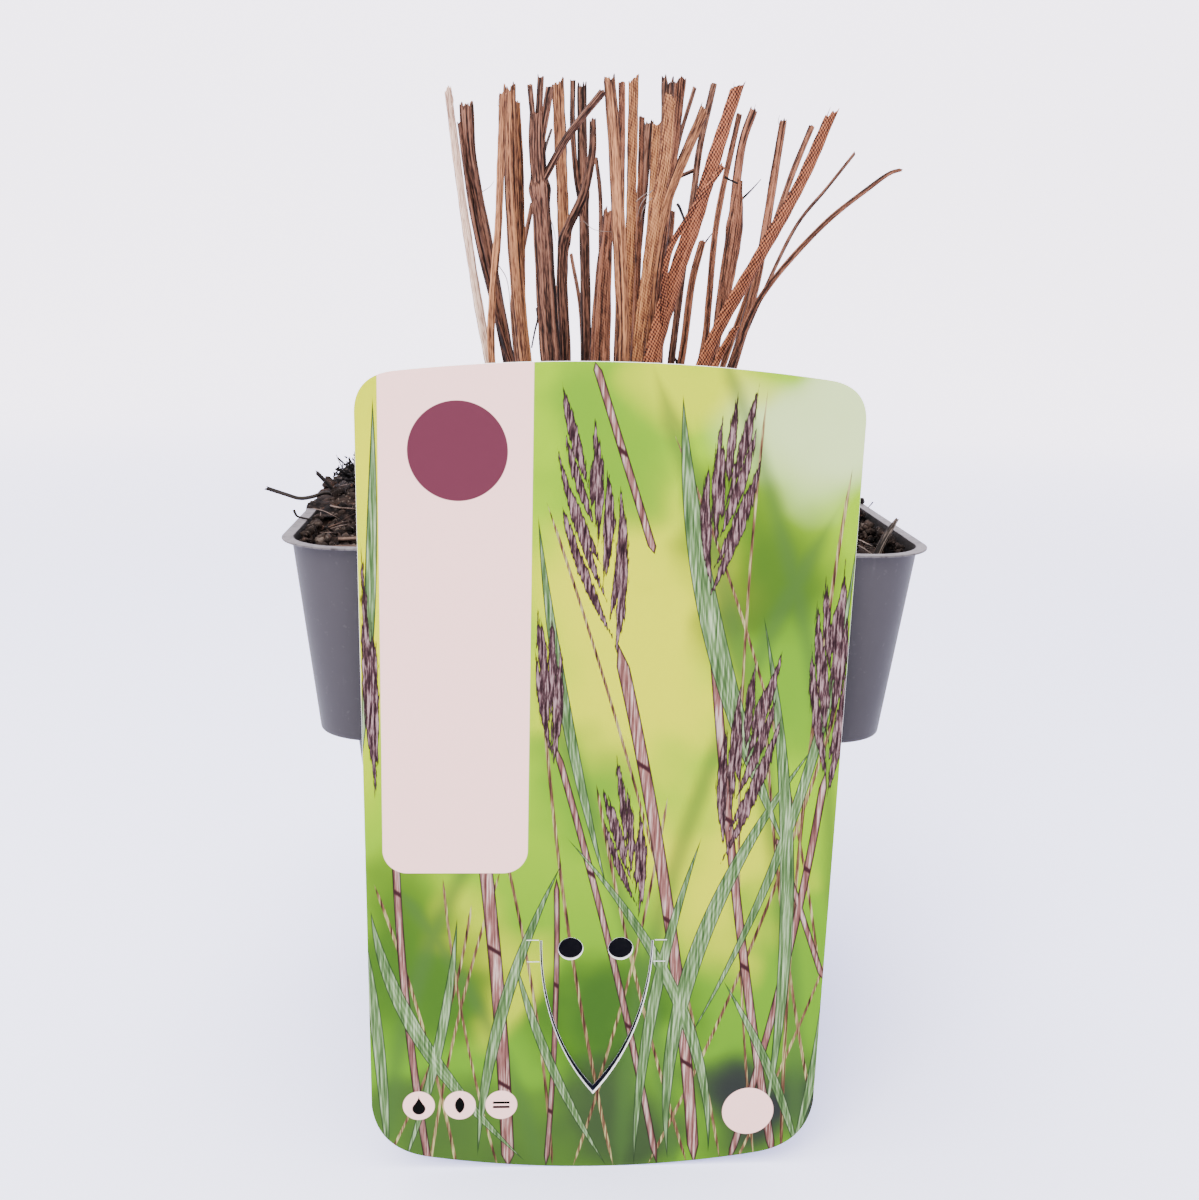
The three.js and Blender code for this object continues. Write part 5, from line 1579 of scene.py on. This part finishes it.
@dataclass
class Litter:
    """The larger scraps on the soil, and the tuft of dead roots on the heap.

    A fibre settles along a line of sight: these spread from a place across, over a
    reach, and fall by a slope. Fibres above stems_from hang on the stems instead.
    """

    soil: Soil
    maker: GrassMaker = field(default_factory=GrassMaker)
    tuft_centre: Point = (-37.5, -4.5, 94.8)
    tuft_core: float = 3.0
    tuft_squash: Point = (0.9, 1, 0.95)
    spines: int = 90
    spine_width: Pair = (0.95, 0.14)
    spine_reach: Pair = (2.8, 4.4)
    barbs: int = 6
    barb_width: Pair = (0.4, 0.1)
    sight: float = -12.0
    sight_reach: float = 190.0
    sight_fall: float = 0.185
    lip_inner: float = 43.2
    stems_from: float = 98.0

    def hairs(self, looks: dict[str, Look]) -> None:
        """The loose fibres that are seen one by one, a piece for each colour."""
        for name, hairs in HAIRS.items():
            low = name != "hairs_dark"
            patches = []
            for width, *route in hairs:
                if low and route[0][2] < self.stems_from:
                    route = self.settled(route)
                patches.append(hair_patch(route, width, rows=14, sides=8, tone=0.0))
            finish_piece(mesh_of_patches(name, patches), (looks[name],))

    def settled(self, route: list[Point]) -> Route:
        """Slides a fibre's ends back and gently down onto the soil or the lip, the rest half as far."""
        points = []
        way = np.linspace(0, 30, 241)
        for number, (x, y, z) in enumerate(route):
            across = x + way * (x - self.sight) / self.sight_reach
            track = np.stack([across, y + way, z - way * self.sight_fall], 1)
            soil = self.soil.height(track[:, 0], track[:, 1])
            ground = np.where(np.abs(track[:, 0]) > self.lip_inner, RIM_HEIGHT, soil) + 0.15
            stop = int(np.argmax(track[:, 2] <= ground))
            points.append(tuple(track[stop // 2 if 0 < number < len(route) - 1 else stop]))
        return tuple(points)

    def scraps(self, looks: dict[Tint, Look]) -> None:
        """One piece for each scrap; those of straw and bark are old and dark."""
        for number, (name, (tint, strip)) in enumerate(SCRAPS.items()):
            rng = np.random.default_rng(SCRAP_SEED + number)
            route = strip.route
            if strip.lying:
                x, y = np.array(route)[:, 0], np.array(route)[:, 1]
                z = SOIL_LEVEL + self.soil.rise(x, y) + 0.35
                route = tuple(zip(x, y, z))
            patches = [self.maker.patch(strip, route, rng)]
            finish_piece(mesh_of_patches(f"loose_{name}", patches), (looks[tint],), (name,), crease=50)

    def tuft(self, look: Look) -> None:
        """Spines that stand out all round from a lumpy core, each with short barbs."""
        rng = np.random.default_rng(TUFT_SEED)
        ball, faces = unit_ball()
        centre = np.array(self.tuft_centre)
        lumps = (1 + 0.3 * lattice_noise(ball * 2, 0.7, 4))[:, None]
        core = ball * self.tuft_core * lumps * self.tuft_squash + centre
        patches = []
        for k in range(self.spines):
            rise = 0.12 + 0.86 * (k + 0.5) / self.spines
            turn = k * math.pi * (3 - math.sqrt(5))
            level = math.sqrt(1 - rise * rise)
            way = np.array([level * math.cos(turn), level * math.sin(turn), rise])
            reach = rng.uniform(*self.spine_reach)
            bend = rng.normal(0, 0.3, 3)
            route = np.array([centre, centre + way * reach * 0.5 + bend, centre + way * reach + bend * 1.6])
            tone = rng.uniform(-1, 1)
            patches.append(hair_patch(route, self.spine_width, rows=10, sides=6, tone=tone))
            for _ in range(self.barbs):
                share = rng.uniform(0.6, 1.0)
                root = route[0] + (route[2] - route[0]) * share + bend * 0.6
                out = way + rng.normal(0, 0.75, 3)
                tip = root + out / np.linalg.norm(out) * rng.uniform(0.4, 1.0)
                barb = (root, (root + tip) / 2, tip)
                tone = rng.uniform(-1, 1)
                patches.append(hair_patch(barb, self.barb_width, rows=4, sides=4, tone=tone))
        finish_piece(mesh_of_patches("dead_root_tuft", patches), (look,), ("root_tuft",))
        finish_piece(mesh_from("dead_root_core", core, faces), (look,))


@dataclass
class Pot:
    """The pot: a turned profile on squares with rounded corners."""

    side_steps: int = 10
    corner_steps: int = 22
    arc_steps: int = 6
    hole_radius: float = 3.5
    hole_offset: float = 16.0
    hole_sides: int = 40

    def profile(self) -> Array:
        """Half width and height round the wall, with its corners rounded to arcs."""
        top = RIM_HALF - LIP
        corners = (
            (BASE_HALF - 9, 0, 0), (BASE_HALF, 0, 1.6), (BODY_TOP_HALF, SHOULDER, 0.9),
            (COLLAR_FOOT_HALF, COLLAR_FOOT - 0.3, 0.7), (top, RIM_HEIGHT - LIP_DEPTH, 0.25),
            (RIM_HALF, RIM_HEIGHT - LIP_DEPTH + 0.15, 0.4), (RIM_HALF, RIM_HEIGHT, 0.5),
            (top - WALL + 0.12, RIM_HEIGHT, 0.12), (top - WALL, RIM_HEIGHT - 0.5, 0.15),
            (COLLAR_FOOT_HALF - WALL, COLLAR_FOOT + 1, 0.8), (BODY_TOP_HALF - WALL, SHOULDER + 1, 0.6),
            (BASE_HALF - WALL, FLOOR, 1.2), (BASE_HALF - 9, FLOOR, 0),
        )
        knots = np.array(corners, float)
        rows = [knots[0, :2]]
        for before, knot, after in zip(knots[:-2], knots[1:-1], knots[2:]):
            back, on = before[:2] - knot[:2], after[:2] - knot[:2]
            reach = min(knot[2], 0.45 * np.linalg.norm(back), 0.45 * np.linalg.norm(on))
            start = knot[:2] + back / np.linalg.norm(back) * reach
            end = knot[:2] + on / np.linalg.norm(on) * reach
            t = np.linspace(0, 1, self.arc_steps)[:, None]
            rows.extend((1 - t) ** 2 * start + 2 * t * (1 - t) * knot[:2] + t**2 * end)
        rows.append(knots[-1, :2])
        return np.array(rows)

    def build(self, look: Look) -> None:
        """Turns the profile and cuts the drain holes."""
        rows = self.profile()
        half, height = rows[:, 0:1], rows[:, 1:2]
        core = np.minimum(np.interp(height, CORE_LEVELS, CORE_HALVES), half - 0.5)
        corner = half - core
        count = self.side_steps + self.corner_steps
        xs, ys = [], []
        for side in range(4):
            along = np.linspace(-1, 1, self.side_steps, endpoint=False)[None, :]
            angle = np.linspace(0, math.pi / 2, self.corner_steps, endpoint=False)[None, :]
            x = np.concatenate([np.repeat(half, self.side_steps, 1), core + corner * np.cos(angle)], 1)
            y = np.concatenate([core * along, core + corner * np.sin(angle)], 1)
            turn = side * math.pi / 2
            xs.append(x * math.cos(turn) - y * math.sin(turn))
            ys.append(x * math.sin(turn) + y * math.cos(turn))
        x, y = np.concatenate(xs, 1), np.concatenate(ys, 1)
        cols = 4 * count
        points = np.stack([x, y, np.repeat(height, cols, 1)], -1).reshape(-1, 3)
        foot, inner = np.arange(cols)[::-1], (len(rows) - 1) * cols + np.arange(cols)
        mesh = mesh_from("nursery_pot", points, grid_quads(len(rows), cols), (foot, inner))
        mesh = self.drilled(mesh)
        finish_piece(mesh, (look,), ("pot",), crease=40)

    def drilled(self, mesh: Mesh) -> Mesh:
        """The pot's mesh with its four drain holes cut out."""
        stock = placed("stock", mesh)
        drills = []
        count, offset = self.hole_sides, self.hole_offset
        ends = (np.arange(count)[::-1], count + np.arange(count))
        for middle in ((-offset, -offset), (-offset, offset), (offset, -offset), (offset, offset)):
            ring = middle + self.hole_radius * circle(count)
            levels = np.concatenate([np.column_stack([ring, np.full(count, z)]) for z in (-2.0, FLOOR + 2)])
            drill = placed("drill", mesh_from("drill", levels, grid_quads(2, count), ends))
            cut = stock.modifiers.new("cut", "BOOLEAN")
            cut.operation, cut.solver, cut.object = "DIFFERENCE", "EXACT", drill
            drills.append(drill)
        done = final_mesh(stock, "nursery_pot")
        for drill in drills:
            bpy.data.objects.remove(drill)
        return done


@dataclass
class LabelCard:
    """The label: a thin card with two eyelets and a tongue cut free by one thin slit."""

    height: float = 117.0
    top_half: float = 33.2
    foot_half: float = 32.3
    top_arch: float = 1.7
    foot_arch: float = 1.9
    top_corner: float = 5.5
    foot_corner: float = 8.5
    eyelets: Pair = (-4.0, 3.1)
    eyelet_height: float = 35.0
    eyelet_radius: float = 1.75
    eyelet_sides: int = 48
    tongue_top: float = 36.3
    tongue_tip: float = 12.4
    tongue_middle: float = -0.3
    tongue_half_top: float = 7.8
    tongue_half_middle: float = 5.6
    tongue_bends: Pair = (28, 19)
    slit: float = 0.22
    push: float = math.radians(3.4)
    nick: float = 1.9
    nick_rise: float = 0.12
    nick_drop: float = 3.2
    nick_gap: float = 0.25
    nick_width: float = 0.05
    arris: float = 0.035
    lift: float = 0.02
    steps: int = 20

    def arc(self, *controls: Pair) -> Array:
        """Points of a Bezier arc from the first control to the last, its end left out."""
        t = np.linspace(0, 1, self.steps, endpoint=False)[:, None]
        order = len(controls) - 1
        total = np.zeros((self.steps, 2))
        for k, control in enumerate(controls):
            total += math.comb(order, k) * (1 - t) ** (order - k) * t**k * np.array(control, float)
        return total

    def outline(self) -> Array:
        """The card's outline: arched top and foot with rounded corners."""
        top, foot = self.top_half, self.foot_half
        shoulder, hem = self.height - self.top_arch, self.foot_arch
        tr, fr = self.top_corner, self.foot_corner
        return np.concatenate([
            self.arc((-foot + fr, hem), (0, -hem), (foot - fr, hem)),
            self.arc((foot - fr, hem), (foot - 0.1 * fr, hem + 0.14 * fr), (foot, hem + fr)),
            self.arc((foot, hem + fr), (top, shoulder - tr)),
            self.arc((top, shoulder - tr), (top, shoulder - 0.1 * tr), (top - tr, shoulder)),
            self.arc((top - tr, shoulder), (0, self.height + self.top_arch), (-top + tr, shoulder)),
            self.arc((-top + tr, shoulder), (-top, shoulder - 0.1 * tr), (-top, shoulder - tr)),
            self.arc((-top, shoulder - tr), (-foot, hem + fr)),
            self.arc((-foot, hem + fr), (-foot + 0.1 * fr, hem + 0.14 * fr), (-foot + fr, hem)),
        ])

    def tongue_side(self, grow: float) -> Array:
        """The tongue's left edge from its top to its tip, moved outwards by grow."""
        m, w, n = self.tongue_middle, self.tongue_half_top + grow, self.tongue_half_middle + grow
        tip = self.tongue_tip - 1.6 * grow
        high, low = self.tongue_bends
        side = self.arc((m - w, self.tongue_top), (m - w, high), (m - n, low), (m, tip))
        return np.vstack([side, [[m, tip]]])

    def cuts(self) -> list[Array]:
        """The slit, the two eyelets, and two short nicks on each side of the slit's top."""
        mirror = np.array([-1.0, 1.0])
        shift = np.array([2 * self.tongue_middle, 0.0])
        outer, inner = self.tongue_side(self.slit), self.tongue_side(0.0)
        path = [outer, (outer * mirror + shift)[-2::-1], inner * mirror + shift, inner[-2::-1]]
        ring = self.eyelet_radius * circle(self.eyelet_sides)
        eyes = [ring + (x, self.eyelet_height) for x in self.eyelets]
        nicks = []
        for level in (self.tongue_top + self.nick_rise, self.tongue_top - self.nick_drop):
            edge = np.interp(level, outer[::-1, 1], outer[::-1, 0])
            far, near, low = edge - self.nick, edge - self.nick_gap, level - self.nick_width
            left = np.array([(far, level), (near, level), (near, low), (far, low)])
            nicks += [left, (left * mirror + shift)[::-1]]
        return [np.concatenate(path), *eyes, *nicks]

    def flat_mesh(self) -> Mesh:
        """The card lying flat, from a filled curve with a fine bevel along every cut."""
        curve = bpy.data.curves.new("card", "CURVE")
        curve.dimensions, curve.fill_mode = "2D", "BOTH"
        curve.extrude, curve.bevel_depth = (CARD_THICKNESS / 2 - self.arris) * MM, self.arris * MM
        curve.bevel_resolution, curve.offset = 0, -self.arris * MM
        for outline in (self.outline(), *self.cuts()):
            spline = curve.splines.new("POLY")
            spline.points.add(len(outline) - 1)
            spots = np.column_stack([outline * MM, np.zeros(len(outline)), np.ones(len(outline))])
            spline.points.foreach_set("co", spots.astype(np.float32).ravel())
            spline.use_cyclic_u = True
        return final_mesh(placed("card", curve), "label_card")

    def press_tongue(self, mesh: Mesh) -> None:
        """Pushes the tongue back: a point inside it sinks in step with its depth below the hinge."""
        spots = np.zeros(3 * len(mesh.vertices), np.float32)
        mesh.vertices.foreach_get("co", spots)
        spots = spots.reshape(-1, 3)
        edge = self.tongue_side(self.slit / 2)[::-1]
        x, w = spots[:, 0] / MM - self.tongue_middle, spots[:, 1] / MM
        half = np.interp(w, edge[:, 1], self.tongue_middle - edge[:, 0], left=0.0, right=0.0)
        inside = np.abs(x) < half
        spots[:, 2] -= np.where(inside, (self.tongue_top - w) * math.tan(self.push), 0) * MM
        mesh.vertices.foreach_set("co", spots.ravel())

    def build(self, looks: tuple[Look, Look]) -> None:
        """The card: paper all round, print on the faces turned to the front."""
        y = -RIM_HALF - GAP - (RIM_HEIGHT - 1) * math.tan(CARD_LEAN)
        stand = (Matrix.Translation((CARD_SHIFT * MM, y * MM, self.lift * MM))
                 @ Matrix.Rotation(math.pi / 2 - CARD_LEAN, 4, "X")
                 @ Matrix.Translation((0, 0, CARD_THICKNESS / 2 * MM)))
        mesh = self.flat_mesh()
        level = CARD_THICKNESS / 2 * MM * 0.99
        printed = [all(mesh.vertices[k].co.z > level for k in face.vertices) for face in mesh.polygons]
        self.press_tongue(mesh)
        mesh.transform(stand)
        mesh.materials.clear()
        mesh.polygons.foreach_set("material_index", np.array(printed, np.int32))
        mesh.polygons.foreach_set("use_smooth", np.zeros(len(mesh.polygons), bool))
        finish_piece(mesh, looks, ("label",))


@dataclass
class Studio:
    """Camera, soft lights and a plain pale floor that curves up into a backdrop."""

    eye: Point = (-12.218, -213.902, 126.61)
    yaw: float = math.radians(3.596)
    pitch: float = math.radians(13.657)
    roll: float = math.radians(1.516)
    focal_pixels: float = 1300.0
    picture_height: float = 1200.0
    sensor: float = 36.0
    floor_color: Color = (0.765, 0.775, 0.845)
    near_glow: Color = (0.16, 0.20, 0.82)
    far_glow: Color = (2.0, 1.75, 2.05)
    cloud_color: Color = (0.815, 0.80, 0.805)
    sky: float = 1.85
    sky_color: Color = (0.99, 0.985, 1.0)
    lamps: tuple[tuple, ...] = (
        ("overhead", (-120, -160, 980), (0, 0, 60), 800, 19.0, (1.0, 0.99, 0.98)),
        ("key", (-420, -760, 760), (0, 0, 90), 500, 14.0, (1.0, 0.985, 0.965)),
    )

    def camera(self) -> None:
        """The photograph's viewpoint: turned by yaw, tipped by pitch, then rolled."""
        up = np.array([0, 0, 1.0])
        level = np.array([math.sin(self.yaw), math.cos(self.yaw), 0])
        right = np.array([math.cos(self.yaw), -math.sin(self.yaw), 0])
        ahead = level * math.cos(self.pitch) - up * math.sin(self.pitch)
        down = -(up * math.cos(self.pitch) + level * math.sin(self.pitch))
        x = right * math.cos(self.roll) - down * math.sin(self.roll)
        y = right * math.sin(self.roll) + down * math.cos(self.roll)
        data = bpy.data.cameras.new("view")
        data.lens = self.sensor * self.focal_pixels / self.picture_height
        data.sensor_width, data.clip_start, data.clip_end = self.sensor, 0.01, 20.0
        camera = placed("view", data)
        self.stand(camera, self.eye, (x, -y, -ahead))
        bpy.context.scene.camera = camera

    def stand(self, thing: bpy.types.Object, place: Point, axes: tuple[Array, ...]) -> None:
        """Puts a thing at a place, its own axes along the three that are given."""
        thing.matrix_world = Matrix.Translation([v * MM for v in place]) @ Matrix(axes).transposed().to_4x4()

    def backdrop(self) -> None:
        """Floor and wall in one sheet, a quarter circle between them."""
        radius, back, front, high, half = 600.0, 1500.0, -2500.0, 3000.0, 3200.0
        angle = np.linspace(0, math.pi / 2, 24)
        y = np.concatenate([[front], back - radius + radius * np.sin(angle), [back]])
        z = np.concatenate([[0], radius - radius * np.cos(angle), [high]])
        points = np.concatenate([np.column_stack([np.full(len(y), x), y, z]) for x in (-half, half)])
        n = len(y)
        k = np.arange(n - 1)
        mesh = mesh_from("floor", points, np.stack([k, k + n, k + n + 1, k + 1], 1))
        shader = Shader("floor_paper", 0.8, Specular_IOR_Level=0.05, Emission_Strength=1.0)
        place = shader.place()
        cloud = shader.noise(place, 2.5, 2.0, 0.5)
        color = shader.mix(cloud.step(0.4, 0.6) * 0.3, self.floor_color, self.cloud_color)
        away = shader.node("ShaderNodeVectorMath", {"operation": "LENGTH"}, {0: place}, out="Value")
        glow = shader.mix(away.step(0.25, 1.3), self.near_glow, self.far_glow)
        shader.plug(shader.surface.inputs["Emission Color"], glow)
        mesh.materials.append(shader.finish(color))
        placed("floor", mesh)

    def lamp(self, name: str, place: Point, aim: Point, size: float, watts: float, color: Color) -> None:
        """A square soft light that faces a point."""
        data = bpy.data.lights.new(name, "AREA")
        data.shape, data.size, data.energy, data.color = "SQUARE", size * MM, watts, color
        ahead = np.array(aim, float) - place
        ahead /= np.linalg.norm(ahead)
        side = np.cross(ahead, (0, 0, 1.0))
        side /= np.linalg.norm(side)
        self.stand(placed(name, data), place, (side, np.cross(side, ahead), -ahead))

    def build(self) -> None:
        """Everything that isn't the object."""
        self.camera()
        self.backdrop()
        world = bpy.data.worlds.new("sky")
        world.use_nodes = True
        background = world.node_tree.nodes["Background"]
        background.inputs["Color"].default_value = (*self.sky_color, 1.0)
        background.inputs["Strength"].default_value = self.sky
        bpy.context.scene.world = world
        for lamp in self.lamps:
            self.lamp(*lamp)


def main() -> None:
    """Builds everything in order."""
    logging.basicConfig(level=logging.INFO, format="%(message)s")
    Studio().build()
    peat = {kind: look.material() for kind, look in PEATS.items()}
    fibre = {kind: look.material() for kind, look in FIBRES.items()}
    Pot().build(Plastic().material())
    soil = Soil()
    soil.body(peat["crumbs_dark"])
    soil.spill(peat["crumbs_dark"])
    for kind, (seed, large, heaps) in CRUMBS.items():
        soil.crumbs(kind, peat[kind], seed, large, heaps)
    soil.fibres(fibre)
    litter = Litter(soil)
    litter.scraps({tint: look.material() for tint, look in SCRAP_LOOKS.items()})
    litter.hairs(fibre)
    litter.tuft(fibre["tuft"])
    Clump({tint: look.material() for tint, look in GRASS_LOOKS.items()}).build()
    LabelCard().build((Paper().material(), CardPrint().material()))
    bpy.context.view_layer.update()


if __name__ == "__main__":
    main()
